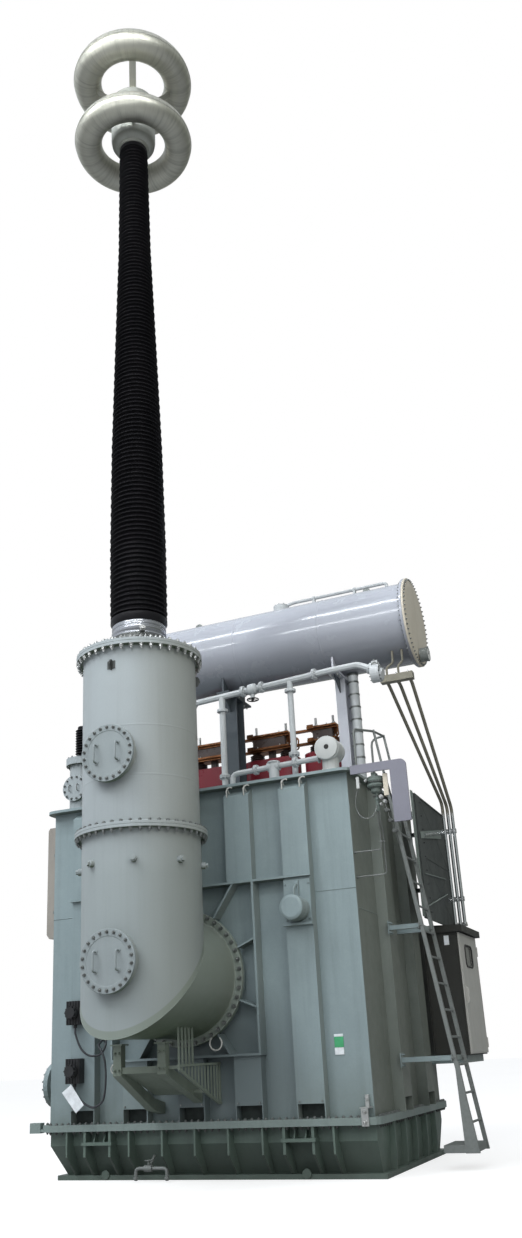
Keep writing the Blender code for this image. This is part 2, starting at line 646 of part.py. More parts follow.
# ---------------------------------------------------------------- cover fittings
LV_GROUPS = ((-0.65, 0.265), (0.40, 0.265), (1.34, 0.15))   # centre, half distance of its pair
LV_Y, LV_TOP = 0.55, 5.98


def stadium(x, half, radius, steps=12):
    """Two half circles about (x - half) and (x + half), joined by straight sides."""
    ends = [(x + half + radius * math.cos(a), LV_Y + radius * math.sin(a))
            for a in (math.pi * (i / steps - 0.5) for i in range(steps + 1))]
    return ends + [(2 * x - u, 2 * LV_Y - v) for u, v in ends]


for i, (x, half) in enumerate(LV_GROUPS):
    tag = ("a", "b", "c")[i]
    node("lv_base_" + tag, union(
        plate([stadium(x, half, 0.25)], 0.04, plane_xy(Z_COVER1 + GAP)),
        plate([stadium(x, half, 0.215)], LV_TOP - Z_COVER1 - 0.02, plane_xy(Z_COVER1 + 0.02))), "maroon", smooth=40)
bars = []
for x, half in LV_GROUPS:
    for dx in (-half, half):
        bars.append(rod((x + dx, LV_Y, LV_TOP + GAP), (x + dx, LV_Y, 6.44), 0.055, 16))
    for z in (6.16, 6.38):
        bars.append(box((x - half - 0.10, LV_Y - 0.20, z), (x + half + 0.10, LV_Y + 0.20, z + 0.03)))
LV_X0, LV_X1 = LV_GROUPS[0][0] - 0.36, LV_GROUPS[2][0] + 0.38
bars.append(box((LV_X0, LV_Y - 0.16, 6.13), (LV_X1 - 0.14, LV_Y - 0.09, 6.165)))
bars.append(box((LV_X0, LV_Y - 0.16, 6.35), (LV_X1, LV_Y - 0.09, 6.385)))
node("lv_busbars", union(*bars), "copper")
NX, NY = -2.14, -1.25
node("neutral_turret", union(
    rod((NX, NY, Z_COVER1 + GAP), (NX, NY, 5.92), 0.19, 28),
    rod((NX, NY, 5.47), (NX, NY - 0.21, 5.47), 0.155, 24),
    rod((NX, NY - 0.18, 5.47), (NX, NY - 0.23, 5.47), 0.205, 24),
    rod((NX, NY, 5.86), (NX, NY, 5.97), 0.25, 28)), "turret_paint", smooth=40)
node("neutral_bushing", lathe([(0, 6.52), (0.09, 6.52), (0.11, 6.48), (0.115, 6.02),
                               (0.17, 5.99), (0.17, 5.9703), (0, 5.9703)], steps=24, at=(NX, NY, 0)),
     "silicone", smooth=40)
node("pressure_relief_valve", union(
    rod((1.95, -1.20, Z_COVER1 + GAP), (1.95, -1.20, Z_COVER1 + 0.12), 0.19, 24),
    rod((1.95, -1.38, 5.50), (1.95, -1.02, 5.50), 0.17, 28),
    rod((1.95, -1.20, Z_COVER1 + 0.10), (1.95, -1.20, 5.45), 0.12, 16)), "white", smooth=40)

CY = -1.20
node("cover_pipe", union(
    tube(bend([(0.42, CY, Z_COVER1 + 0.0005), (0.42, CY, 5.37), (1.765, CY, 5.41)], 0.09), 0.042),
    rod((1.08, CY, Z_COVER1 + GAP), (1.08, CY, Z_COVER1 + 0.05), 0.15, 24),
    rod((1.08, CY, Z_COVER1 + 0.03), (1.08, CY, 5.44), 0.075, 20),
    rod((0.99, CY, 5.388), (1.17, CY, 5.393), 0.07, 20)), "pipe_paint", smooth=40)

# ---------------------------------------------------------------- ladder
LY0, LY1 = -0.80, -0.20


def lx(z):
    """The ladder leans out towards its foot."""
    return 2.664 + 0.147 * (4.765 - z)


parts = []
for y in (LY0, LY1):
    rail = [(lx(0.20) - 0.025, 0.20), (lx(0.20) + 0.025, 0.20), (lx(4.95) + 0.025, 4.95),
            (lx(4.95) - 0.025, 4.95)]
    parts.append(plate([rail], 0.05, plane_xz(y + 0.025)))
z = 0.55
while z < 4.80:
    parts.append(rod((lx(z), LY0, z), (lx(z), LY1, z), 0.014, 8))
    z += 0.34
parts.append(box((2.915, LY0 - 0.03, 0.205), (lx(0.26), LY1 + 0.03, 0.295)))
parts.append(plate([[(3.165, 1.27), (3.215, 1.27), (3.345, 0.20), (3.185, 0.20)]], 0.046, plane_xz(LY0 + 0.023)))
parts.append(box((lx(0.26) - 0.03, LY0 - 0.02, 0.21), (lx(0.26) + 0.01, LY1 + 0.02, 0.29)))

# Handrails that carry the ladder's rails on above the cover, joined across the top.
rails = []
for y, top in ((LY0, 5.82), (LY1, 5.90)):
    rails.append(tube([(lx(4.90), y, 4.90), (lx(top), y, top)], 0.018))
rails.append(tube(bend([(2.335, -1.25, Z_COVER1 + 0.0005), (2.34, -1.25, 5.74), (2.506, LY0 + 0.002, 5.80),
                        (2.494, LY1, 5.885)], 0.05), 0.0176))
rails.append(tube(bend([(2.492, LY1, 5.884), (2.30, LY1, 5.86), (2.295, LY1, Z_COVER1 + 0.0005)], 0.10), 0.0173))
node("ladder", union(*parts, *rails), "steel")
WX = WALL_X + GAP
for name, z in (("ladder_bracket_upper", 3.00), ("ladder_bracket_lower", 1.315)):
    end = lx(z) - 0.035
    node(name, union(box((WX + STIFF_D, LY0 - 0.03, z - 0.03), (end, LY0 + 0.03, z + 0.03)),
                     box((WX, LY1 - 0.03, z - 0.03), (end, LY1 + 0.03, z + 0.03)),
                     box((end - 0.05, LY0 - 0.03, z - 0.03), (end, LY1 + 0.03, z + 0.03))),
         "tank_paint")

# ---------------------------------------------------------------- gauge portal
corner = [(3.102 + 0.08 * math.sin(math.radians(a)), 4.97 + 0.08 * math.cos(math.radians(a)))
          for a in range(0, 91, 18)]
portal = [(2.4133, 4.93), (2.4133, 5.05), *corner, (3.182, 4.22), (2.955, 4.22), (2.955, 4.93)]
node("gauge_portal", plate([portal], 0.03, plane_xz(-1.80)), "portal_paint")
GX, GY = 2.715, -1.685
node("gauge_box", union(rod((GX, GY, 4.735), (GX, GY, 4.885), 0.112, 28),
                        rod((GX, GY, 4.665), (GX, GY, 4.745), 0.072, 20),
                        rod((GX, GY, 4.42), (GX, GY, 4.68), 0.024, 16),
                        box((GX - 0.03, -1.79, 4.87), (GX + 0.03, -1.66, 4.9297))), "tank_paint")

# ---------------------------------------------------------------- cabinet
T = 0.02
body = box((CAB_X0, CAB_Y0, CAB_Z0), (CAB_X1, CAB_Y1, CAB_Z1))
roof = [(CAB_X0 - 0.015, CAB_Z1), (ROOF_X1, CAB_Z1), (ROOF_X1, CAB_Z1 + ROOF_T - 0.02),
        (CAB_X0 - 0.015, CAB_Z1 + ROOF_T)]
body = cut(body, box((CAB_X0 + T, CAB_Y0 + T, CAB_Z0 + T), (CAB_X1 + 0.1, CAB_Y1 - T, CAB_Z1 - T)))
body = union(body, plate([roof], CAB_Y1 - CAB_Y0 + 0.08, plane_xz(CAB_Y1 + 0.04)))
node("cabinet_body", body, "cabinet_paint")
door = box((CAB_X1 + 0.005, CAB_Y0 + 0.02, CAB_Z0 + 0.02), (HINGE_X, HINGE_Y - 0.012, CAB_Z1 - 0.02))
window = [2.59, 2.90]
door = cut(door, plate([rounded(1.53, window[0], 2.02, window[1], 0.07)], 0.2,
                       Matrix(((0, 0, 1, CAB_X1 - 0.05), (1, 0, 0, 0), (0, 1, 0, 0), (0, 0, 0, 1)))))
door = union(door, rod((HINGE_X, HINGE_Y, CAB_Z0 + 0.10), (HINGE_X, HINGE_Y, CAB_Z0 + 0.24), 0.010, 12),
             box((HINGE_X - 0.02, HINGE_Y - 0.03, CAB_Z0 + 0.12), (HINGE_X - 0.001, HINGE_Y, CAB_Z0 + 0.22)),
             rod((HINGE_X, HINGE_Y, CAB_Z1 - 0.30), (HINGE_X, HINGE_Y, CAB_Z1 - 0.16), 0.010, 12),
             box((HINGE_X - 0.02, HINGE_Y - 0.03, CAB_Z1 - 0.28), (HINGE_X - 0.001, HINGE_Y, CAB_Z1 - 0.18)))
node("cabinet_door", door, "cabinet_paint")
node("cabinet_window", plate([rounded(1.53 + GAP, window[0] + GAP, 2.02 - GAP, window[1] - GAP, 0.07)], 0.006,
                             Matrix(((0, 0, 1, CAB_X1 + 0.012), (1, 0, 0, 0), (0, 1, 0, 0), (0, 0, 0, 1)))), "glass")
node("cabinet_bracket", union(box((WX, 1.30, 1.22), (2.90, 1.36, CAB_Z0 - GAP)),
                              box((WX, 1.56, 1.22), (2.90, 1.62, CAB_Z0 - GAP)),
                              box((2.84, 1.30, 1.22), (2.90, 2.45, CAB_Z0 - GAP)),
                              box((CAB_X0, 2.39, 1.22), (2.90, 2.45, CAB_Z0 - GAP)),
                              box((CAB_X0, 1.30, 1.22), (CAB_X0 + 0.06, 2.45, CAB_Z0 - GAP))), "tank_paint")

# Screen plate above the cabinet, standing off the tank wall on two arms.
Z_ROOF = CAB_Z1 + ROOF_T
panel = box((2.745, 0.44, Z_ROOF + 0.005), (2.775, 2.08, 5.05))
arms = [box((WX, 1.20, z - 0.03), (2.75, 1.26, z + 0.03)) for z in (3.75, 4.62)]
edge = box((2.735, 0.19, Z_ROOF + 0.006), (2.785, 0.48, 5.049))
node("side_panel", union(panel, edge, *arms), "cabinet_paint")

# Three oil and cable tubes: from the valve block under the drum, back and down to the
# cabinet's roof.
TUBES = (((2.66, 6.69), (2.865, 5.17)), ((2.84, 6.66), (2.94, 5.11)), ((3.02, 6.68), (3.01, 5.08)))
runs = []
for i, ((xa, za), (xb, zb)) in enumerate(TUBES):
    runs.append(tube(bend([(xb, 1.70, Z_ROOF + 0.0005), (xb, 1.70, zb), (xa, -0.22, za), (xa, -0.36, za)],
                          0.09), 0.027))
block = box((2.60, -0.47, 6.635), (3.10, -0.35, 6.745))
hangers = [tube(bend([(x, -0.41, 6.74), (x, -0.41, 6.88), (x + dx, -0.38, 6.95), (x + dx, -0.36, z)], 0.04), 0.018)
           for x, dx, z in ((2.70, 0.10, 7.150), (2.88, 0.07, 7.150))]
clamps = [box((2.795, 1.668, z - 0.035), (3.045, 1.732, z + 0.035)) for z in (3.62, 4.70)]
clamps.append(tube([(2.811, 0.45, 4.45), (2.811, 1.70, 4.693)], 0.022))
node("conduits", union(block, *runs, *hangers, *clamps), "steel")

# ---------------------------------------------------------------- tank fittings
node("left_valve_flange", union(
    rod((-WALL_X - GAP, -1.30, 1.20), (-WALL_X - 0.17, -1.30, 1.20), 0.22, 28),
    rod((-WALL_X - 0.13, -1.30, 1.20), (-WALL_X - 0.20, -1.30, 1.20), 0.30, 28)), "tank_paint", smooth=40)
node("left_duct", plate([[(-2.575, 3.28), (-2.53, 3.22), (-WALL_X - GAP, 3.22), (-WALL_X - GAP, 4.88), (-2.545, 4.88),
                          (-2.575, 4.84)]], 0.11, plane_xz(-1.39)), "end_paint")
node("drain_pipe", union(
    tube(bend([(-0.90, -1.86, 0.02), (-0.90, -1.86, 0.165), (-0.45, -1.86, 0.165), (-0.45, -1.86, 0.02)], 0.05), 0.022),
    tube([(-0.72, -1.86, 0.165), (-0.72, -1.79, 0.20), (-0.72, -1.676, 0.30)], 0.018),
    rod((-0.77, -1.86, 0.165), (-0.66, -1.86, 0.165), 0.04, 16)), "pipe_paint")
node("thermometer_drum", union(
    rod((1.56, -1.8503, 3.23), (1.56, -2.14, 3.23), 0.16, 28),
    box((1.53, -1.90, 3.23), (1.59, -1.8503, 3.60)),
    box((1.375, -1.87, 3.04), (1.745, -1.8503, 3.62)),
    box((1.36, -1.93, 3.02), (1.76, -1.8503, 3.05))), "tank_paint", smooth=40)
for name, z0, z1 in (("connector_upper", 1.975, 2.28), ("connector_lower", 1.22, 1.53)):
    zc = (z0 + z1) / 2
    node(name, union(box((-1.90, -1.98, z0), (-1.69, -1.8503, z1)),
                     rod((-1.795, -1.97, zc), (-1.795, -2.08, zc), 0.075, 16)), "black")
# Cables that hang from the connectors and enter the tank wall behind the elbow.
for name, points in (
        ("cable_upper", [(-1.79, -1.93, 1.9747), (-1.79, -1.93, 1.90), (-1.775, -1.945, 1.84), (-1.70, -1.95, 1.68), (-1.60, -1.95, 1.585),
                         (-1.483, -1.935, 1.554), (-1.39, -1.91, 1.585), (-1.345, -1.875, 1.68),
                         (-1.36, -1.83, 1.82), (-1.42, -1.80, 1.93),
                         (-1.42, -1.765, 1.97), (-1.42, -1.7004, 1.97)]),
        ("cable_lower", [(-1.79, -1.93, 1.2197), (-1.79, -1.93, 1.16), (-1.775, -1.945, 1.10), (-1.71, -1.95, 1.03), (-1.60, -1.95, 0.95),
                         (-1.48, -1.95, 0.913), (-1.36, -1.95, 0.97), (-1.31, -1.96, 1.065), (-1.285, -1.97, 1.256),
                         (-1.295, -1.97, 1.45), (-1.34, -1.955, 1.576), (-1.43, -1.91, 1.68), (-1.46, -1.82, 1.72),
                         (-1.46, -1.765, 1.75), (-1.46, -1.7004, 1.75)])):
    node(name, tube(bend(points, 0.03), CABLE_R), "black")

for helper in list(TOOLS.objects):
    bpy.data.objects.remove(helper, do_unlink=True)
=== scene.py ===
"""Looks of a large single-phase power transformer: finishes, fine parts, light and camera.

Metres, +Z up, in the same frame as the solids: -Y is the side of the high-voltage
turret, +X the end with the ladder and the control cabinet.
"""
import math
import random

import bmesh
import bpy
from mathutils import Matrix, Vector


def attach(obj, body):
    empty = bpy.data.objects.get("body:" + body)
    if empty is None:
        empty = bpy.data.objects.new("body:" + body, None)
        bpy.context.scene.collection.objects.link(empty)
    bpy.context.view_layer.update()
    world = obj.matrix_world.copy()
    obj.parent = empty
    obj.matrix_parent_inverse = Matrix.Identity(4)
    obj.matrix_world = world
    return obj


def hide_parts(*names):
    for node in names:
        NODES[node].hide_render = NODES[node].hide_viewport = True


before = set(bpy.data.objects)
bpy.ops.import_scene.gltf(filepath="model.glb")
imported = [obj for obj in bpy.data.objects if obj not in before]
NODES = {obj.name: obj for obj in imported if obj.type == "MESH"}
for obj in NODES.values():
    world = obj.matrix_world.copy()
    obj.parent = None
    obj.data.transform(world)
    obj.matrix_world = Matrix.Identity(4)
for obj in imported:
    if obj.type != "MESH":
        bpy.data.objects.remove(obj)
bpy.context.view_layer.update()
RND = random.Random(11)

# ------------------------------------------------------------------ dimensions
TX, TY, TZ = -0.152, -2.979, 2.48
TR, T_FLANGE, WALL_FLANGE = 0.775, 0.868, 0.884
Z_MID0, Z_MID1, Z_MID2 = 4.172, 4.210, 4.248
Z_TOP0, Z_TOP1, Z_TOP2 = 6.617, 6.659, 6.702
WALL_X, WALL_Y = 2.32, 1.70
FL_X, FL_Y = 2.413, 1.855
MANHOLE_R, MANHOLE_Z = 0.375, (5.13, 2.58)
FRONT_STIFF_X = (-1.72, -0.91, -0.08, 0.73, 1.56)
SIDE_STIFF_Y = (-0.61, 0.64)
CONS_R, CONS_FLANGE, CONS_Z = 0.645, 0.708, 7.695
CONS_X0, CONS_X1 = -1.15, 3.16
LV_GROUPS = ((-0.65, 0.265), (0.40, 0.265), (1.34, 0.15))
LV_Y, LV_TOP = 0.55, 5.98
BUSH_Z0, BUSH_Z1 = 7.17, 16.06
BUSH = ((BUSH_Z0, 0.407), (8.42, 0.409), (10.11, 0.384), (11.94, 0.329), (13.93, 0.266), (BUSH_Z1, 0.241))
RING_LOW = (16.22, 0.765, 0.228)     # height, radius of the tube's line, and of the tube
RING_HIGH = (17.615, 0.787, 0.239)
CAP_R, CAP_TOP = 0.375, 17.17

# ------------------------------------------------------------------ camera
RIGHT = Vector((0.91693438, 0.39632722, -0.04643354))
UP = -Vector((-0.17979954, 0.30646596, -0.93474635))
BACK = -Vector((-0.35623512, 0.8654498, 0.35226863))
camera = bpy.data.objects.new("camera", bpy.data.cameras.new("camera"))
bpy.context.scene.collection.objects.link(camera)
camera.matrix_world = (Matrix.Translation((6.296, -14.835, 1.44))
                       @ Matrix((RIGHT, UP, BACK)).transposed().to_4x4())
camera.data.sensor_fit = "AUTO"
camera.data.sensor_width = 36
camera.data.lens = 29.99
camera.data.shift_x = 0.0139
camera.data.shift_y = 0.0404
camera.data.clip_start = 0.1
camera.data.clip_end = 400
bpy.context.scene.camera = camera


# ------------------------------------------------------------------ mesh tools
class Mesh:
    """Collects points and faces of one joined piece."""

    def __init__(self):
        self.points, self.faces = [], []

    def add(self, points, faces, matrix=None):
        start = len(self.points)
        if matrix is not None:
            points = [matrix @ Vector(p) for p in points]
        self.points += [tuple(p) for p in points]
        self.faces += [tuple(start + i for i in face) for face in faces]

    def loft(self, rings, caps=(True, True), closed=False):
        """Joins rings of equally many points."""
        n = len(rings[0])
        points = [p for ring in rings for p in ring]
        faces = []
        count = len(rings)
        for k in range(count if closed else count - 1):
            a, b = k * n, ((k + 1) % count) * n
            for i in range(n):
                j = (i + 1) % n
                faces.append((a + i, a + j, b + j, b + i))
        if not closed and caps[0]:
            faces.append(tuple(range(n - 1, -1, -1)))
        if not closed and caps[1]:
            faces.append(tuple((count - 1) * n + i for i in range(n)))
        self.add(points, faces)

    def lathe(self, profile, at=(0, 0, 0), axis=(0, 0, 1), seg=48, closed=False):
        """A profile of (radius, height), turned about an axis. Ends off the axis stay open
        unless the profile is closed."""
        turn = Matrix.Translation(at) @ to_axis(axis)
        rings = []
        for radius, height in supported(profile, closed):
            radius = max(radius, 0.0004)
            rings.append([turn @ Vector((radius * math.cos(math.tau * i / seg),
                                         radius * math.sin(math.tau * i / seg), height))
                          for i in range(seg)])
        self.loft(rings, closed=closed)

    def rod(self, a, b, radius, seg=16, radius_end=None, chamfer=0.0):
        a, b = Vector(a), Vector(b)
        length = (b - a).length
        r1 = radius if radius_end is None else radius_end
        profile = [(radius, 0), (r1, length)]
        if chamfer:
            profile = [(radius - chamfer, 0), (radius, chamfer), (r1, length - chamfer), (r1 - chamfer, length)]
        self.lathe(profile, at=a, axis=b - a, seg=seg)

    def tube(self, path, radius, seg=10, closed=False):
        path = [Vector(p) for p in path]
        count = len(path)
        rings, normal = [], None
        for i, here in enumerate(path):
            ahead = path[(i + 1) % count] if closed or i < count - 1 else here
            behind = path[i - 1] if closed or i > 0 else here
            tangent = (ahead - behind).normalized()
            if normal is None:
                normal = tangent.orthogonal().normalized()
            normal = (normal - tangent * normal.dot(tangent)).normalized()
            side = tangent.cross(normal)
            rings.append([here + radius * (math.cos(math.tau * k / seg) * normal
                                           + math.sin(math.tau * k / seg) * side) for k in range(seg)])
        self.loft(rings, closed=closed)

    def box(self, lo, hi, matrix=None):
        x0, y0, z0 = lo
        x1, y1, z1 = hi
        points = [(x0, y0, z0), (x1, y0, z0), (x1, y1, z0), (x0, y1, z0),
                  (x0, y0, z1), (x1, y0, z1), (x1, y1, z1), (x0, y1, z1)]
        faces = [(0, 3, 2, 1), (4, 5, 6, 7), (0, 1, 5, 4), (1, 2, 6, 5), (2, 3, 7, 6), (3, 0, 4, 7)]
        self.add(points, faces, matrix)

    def prism(self, outline, matrix, depth):
        """A flat outline in the matrix's XY plane, extruded along its Z."""
        rings = [[matrix @ Vector((u, v, z)) for u, v in outline] for z in (0.0, depth)]
        self.loft(rings)

    def nut(self, at, axis, size=0.036, height=0.022, stud=0.018, washer=True, turn=0.0):
        """A hexagon nut or head on a washer, with the stud's end standing out of it."""
        place = Matrix.Translation(at) @ to_axis(axis) @ Matrix.Rotation(turn, 4, "Z")
        r = size / 1.732

        def hexagon(radius, z):
            return [place @ Vector((radius * math.cos(math.tau * i / 6), radius * math.sin(math.tau * i / 6), z))
                    for i in range(6)]

        base = 0.0
        if washer:
            base = height * 0.16
            self.loft([[place @ Vector((size * 0.72 * math.cos(math.tau * i / 12),
                                        size * 0.72 * math.sin(math.tau * i / 12), z)) for i in range(12)]
                       for z in (0, base)])
        self.loft([hexagon(r, base), hexagon(r, base + height * 0.86), hexagon(r * 0.84, base + height)])
        if stud:
            s = size * 0.30
            self.loft([[place @ Vector((q * math.cos(math.tau * i / 8), q * math.sin(math.tau * i / 8), z))
                        for i in range(8)] for q, z in ((s, base + height * 0.9), (s, base + height + stud * 0.85),
                                                        (s * 0.7, base + height + stud))])

    def done(self, name, material, body="root", replaces=(), smooth=35, bevel=0.0):
        mesh = bpy.data.meshes.new(name)
        mesh.from_pydata(self.points, [], self.faces)
        bm = bmesh.new()
        bm.from_mesh(mesh)
        bmesh.ops.recalc_face_normals(bm, faces=bm.faces)
        if bevel:
            edges = [e for e in bm.edges if len(e.link_faces) == 2 and e.calc_face_angle(0) > math.radians(50)]
            bmesh.ops.bevel(bm, geom=edges, offset=bevel, segments=1, affect="EDGES", clamp_overlap=True)
        bm.to_mesh(mesh)
        bm.free()
        mesh.validate()
        if smooth:
            mesh.shade_smooth()
            mesh.set_sharp_from_angle(angle=math.radians(smooth))
        mesh.materials.append(material)
        obj = bpy.data.objects.new(name, mesh)
        bpy.context.scene.collection.objects.link(obj)
        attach(obj, body)
        if replaces:
            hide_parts(*replaces)
        return obj


def supported(profile, closed=False):
    """Adds points close to the ends of long steps, so that their shading stays even."""
    out = []
    pairs = list(zip(profile, profile[1:] + (profile[:1] if closed else [])))
    for (r0, h0), (r1, h1) in pairs:
        out.append((r0, h0))
        length = math.hypot(r1 - r0, h1 - h0)
        if length > 0.07:
            t = 0.006 / length
            out += [(r0 + (r1 - r0) * k, h0 + (h1 - h0) * k) for k in (t, 1 - t)]
    return out if closed else out + [profile[-1]]


def to_axis(axis):
    return Vector((0, 0, 1)).rotation_difference(Vector(axis)).to_matrix().to_4x4()


def arc(center, u, v, radius, a0, a1, steps):
    """Points on an arc in the plane of u and v."""
    center, u, v = Vector(center), Vector(u), Vector(v)
    return [center + radius * (math.cos(a) * u + math.sin(a) * v)
            for a in (math.radians(a0 + (a1 - a0) * i / steps) for i in range(steps + 1))]


def rounded_path(points, radius, steps=5):
    points = [Vector(p) for p in points]
    out = [points[0]]
    for before, here, after in zip(points, points[1:], points[2:]):
        a = here + (before - here).normalized() * radius
        b = here + (after - here).normalized() * radius
        for i in range(steps + 1):
            t = i / steps
            out.append(a * (1 - t) ** 2 + here * 2 * t * (1 - t) + b * t * t)
    out.append(points[-1])
    return out


def smooth_path(points, steps=6):
    """A smooth curve through all the points."""
    points = [Vector(p) for p in points]
    out = []
    padded = [points[0] * 2 - points[1]] + points + [points[-1] * 2 - points[-2]]
    for p0, p1, p2, p3 in zip(padded, padded[1:], padded[2:], padded[3:]):
        for i in range(steps):
            t = i / steps
            out.append(0.5 * ((2 * p1) + (p2 - p0) * t + (2 * p0 - 5 * p1 + 4 * p2 - p3) * t * t
                              + (3 * p1 - p0 - 3 * p2 + p3) * t ** 3))
    out.append(points[-1])
    return out


# ------------------------------------------------------------------ materials
class Tree:
    """Short names for building a material's nodes."""

    def __init__(self, name):
        self.material = bpy.data.materials.new(name)
        self.material.use_nodes = True
        self.nodes = self.material.node_tree.nodes
        self.links = self.material.node_tree.links
        self.shader = self.nodes["Principled BSDF"]
        self.coords = self.nodes.new("ShaderNodeTexCoord").outputs["Object"]

    def set(self, **values):
        for key, value in values.items():
            self.shader.inputs[key.replace("_", " ")].default_value = value

    def link(self, a, b):
        self.links.new(a, b)

    def scaled(self, x, y, z, turn=(0, 0, 0)):
        node = self.nodes.new("ShaderNodeMapping")
        node.inputs["Scale"].default_value = (x, y, z)
        node.inputs["Rotation"].default_value = turn
        self.link(self.coords, node.inputs["Vector"])
        return node.outputs["Vector"]

    def noise(self, scale, detail=4.0, rough=0.55, vector=None, distortion=0.0):
        node = self.nodes.new("ShaderNodeTexNoise")
        node.inputs["Scale"].default_value = scale
        node.inputs["Detail"].default_value = detail
        node.inputs["Roughness"].default_value = rough
        node.inputs["Distortion"].default_value = distortion
        self.link(vector if vector is not None else self.coords, node.inputs["Vector"])
        return node.outputs["Fac"]

    def ramp(self, value, stops):
        """stops are (position, grey or colour)."""
        node = self.nodes.new("ShaderNodeValToRGB")
        ramp = node.color_ramp
        while len(ramp.elements) < len(stops):
            ramp.elements.new(0.5)
        for element, (position, color) in zip(ramp.elements, stops):
            element.position = position
            if isinstance(color, (int, float)):
                color = (color, color, color)
            element.color = (*color, 1.0)
        self.link(value, node.inputs["Fac"])
        return node.outputs["Color"]

    def mix(self, factor, a, b, mode="MIX"):
        node = self.nodes.new("ShaderNodeMix")
        node.data_type = "RGBA"
        node.blend_type = mode
        node.clamp_factor = True
        if isinstance(factor, (int, float)):
            node.inputs[0].default_value = factor
        else:
            self.link(factor, node.inputs[0])
        for socket, value in ((node.inputs[6], a), (node.inputs[7], b)):
            if isinstance(value, tuple):
                socket.default_value = (*value, 1.0)
            else:
                self.link(value, socket)
        return node.outputs[2]

    def math(self, kind, a, b=0.0, clamp=False):
        node = self.nodes.new("ShaderNodeMath")
        node.operation = kind
        node.use_clamp = clamp
        for socket, value in ((node.inputs[0], a), (node.inputs[1], b)):
            if isinstance(value, (int, float)):
                socket.default_value = value
            else:
                self.link(value, socket)
        return node.outputs[0]

    def along(self, direction, start, end):
        """0 at start to 1 at end, by how far a point lies along a direction."""
        dot = self.nodes.new("ShaderNodeVectorMath")
        dot.operation = "DOT_PRODUCT"
        dot.inputs[1].default_value = direction
        self.link(self.coords, dot.inputs[0])
        node = self.nodes.new("ShaderNodeMapRange")
        node.inputs["From Min"].default_value = start
        node.inputs["From Max"].default_value = end
        self.link(dot.outputs["Value"], node.inputs["Value"])
        return node.outputs["Result"]

    def facing(self, direction, start, end):
        """0 to 1 by how far the surface faces a direction."""
        geometry = self.nodes.new("ShaderNodeNewGeometry")
        dot = self.nodes.new("ShaderNodeVectorMath")
        dot.operation = "DOT_PRODUCT"
        dot.inputs[1].default_value = direction
        self.link(geometry.outputs["Normal"], dot.inputs[0])
        node = self.nodes.new("ShaderNodeMapRange")
        node.inputs["From Min"].default_value = start
        node.inputs["From Max"].default_value = end
        self.link(dot.outputs["Value"], node.inputs["Value"])
        return node.outputs["Result"]

    def bump(self, *layers):
        """Each layer is (height, strength, distance)."""
        normal = None
        for height, strength, distance in layers:
            node = self.nodes.new("ShaderNodeBump")
            node.inputs["Strength"].default_value = strength
            node.inputs["Distance"].default_value = distance
            self.link(height, node.inputs["Height"])
            if normal is not None:
                self.link(normal, node.inputs["Normal"])
            normal = node.outputs["Normal"]
        self.link(normal, self.shader.inputs["Normal"])

    def color(self, value):
        self.link(value, self.shader.inputs["Base Color"])

    def rough(self, value):
        self.link(value, self.shader.inputs["Roughness"])


def paint(name, color, dark, rough=0.42, stain=0.35, coat=0.0, low=None, under_shade=None, waves=0.35, side=None, shadow_pool=None):
    """Shop paint on steel plate: slow tone changes, dull wash marks that run down, dust,
    and the plate's slight waviness; on request also painted shade: darker towards the bottom (partly grime), on faces
    turned down or to +X, and a soft painted shadow round a given point."""
    t = Tree(name)
    slow = t.ramp(t.noise(0.8, 3, 0.5), [(0.32, 0.0), (0.72, 1.0)])
    base = t.mix(slow, color, tuple(c * 0.90 for c in color))
    runs = t.ramp(t.noise(1.0, 5, 0.6, t.scaled(7.0, 7.0, 0.45)), [(0.50, 0.0), (0.80, stain)])
    base = t.mix(runs, base, dark)
    dust = t.ramp(t.noise(5.5, 6, 0.65), [(0.48, 0.0), (0.78, stain * 0.55)])
    base = t.mix(dust, base, tuple(min(1.0, c * 1.22 + 0.015) for c in color))
    # darker towards the bottom: grime mixed with painted shade, since less light reaches the lower parts
    if low:
        height, depth, low_tone = low
        low_grime_and_shade = t.math("MULTIPLY", t.along((0, 0, 1), height, height - depth),
                       t.ramp(t.noise(2.2, 5, 0.6), [(0.25, 0.35), (0.75, 1.0)]))
        base = t.mix(low_grime_and_shade, base, low_tone)
    # painted shade: faces turned down are darkened towards this colour
    if under_shade:
        base = t.mix(t.facing((0, 0, -1), 0.15, 0.95), base, under_shade)
    # painted shade: faces turned to +X, away from the light, are darkened towards this colour
    if side:
        base = t.mix(t.math("MULTIPLY", t.facing((1, 0, 0), 0.4, 0.95), 0.55), base, side)
    # painted shadow: a soft dark patch round a given point
    if shadow_pool:
        center, reach, amount = shadow_pool
        span = t.nodes.new("ShaderNodeVectorMath")
        span.operation = "DISTANCE"
        span.inputs[1].default_value = center
        t.link(t.coords, span.inputs[0])
        shadow_fade = t.ramp(t.math("DIVIDE", span.outputs["Value"], reach), [(0.45, amount), (1.0, 0.0)])
        base = t.mix(shadow_fade, base, tuple(c * 0.45 for c in color))
    fine = t.noise(48, 3, 0.6)
    base = t.mix(t.ramp(fine, [(0.35, 0.0), (0.75, 0.10)]), base, dark)
    t.color(base)
    t.rough(t.ramp(t.noise(3.0, 5, 0.6), [(0.3, rough - 0.08), (0.75, min(0.95, rough + 0.14))]))
    t.set(Specular_IOR_Level=0.45, Coat_Weight=coat, Coat_Roughness=0.12)
    t.bump((t.noise(1.6, 2, 0.5), waves, 0.010), (t.noise(260, 2, 0.5), 0.12, 0.0012))
    return t.material


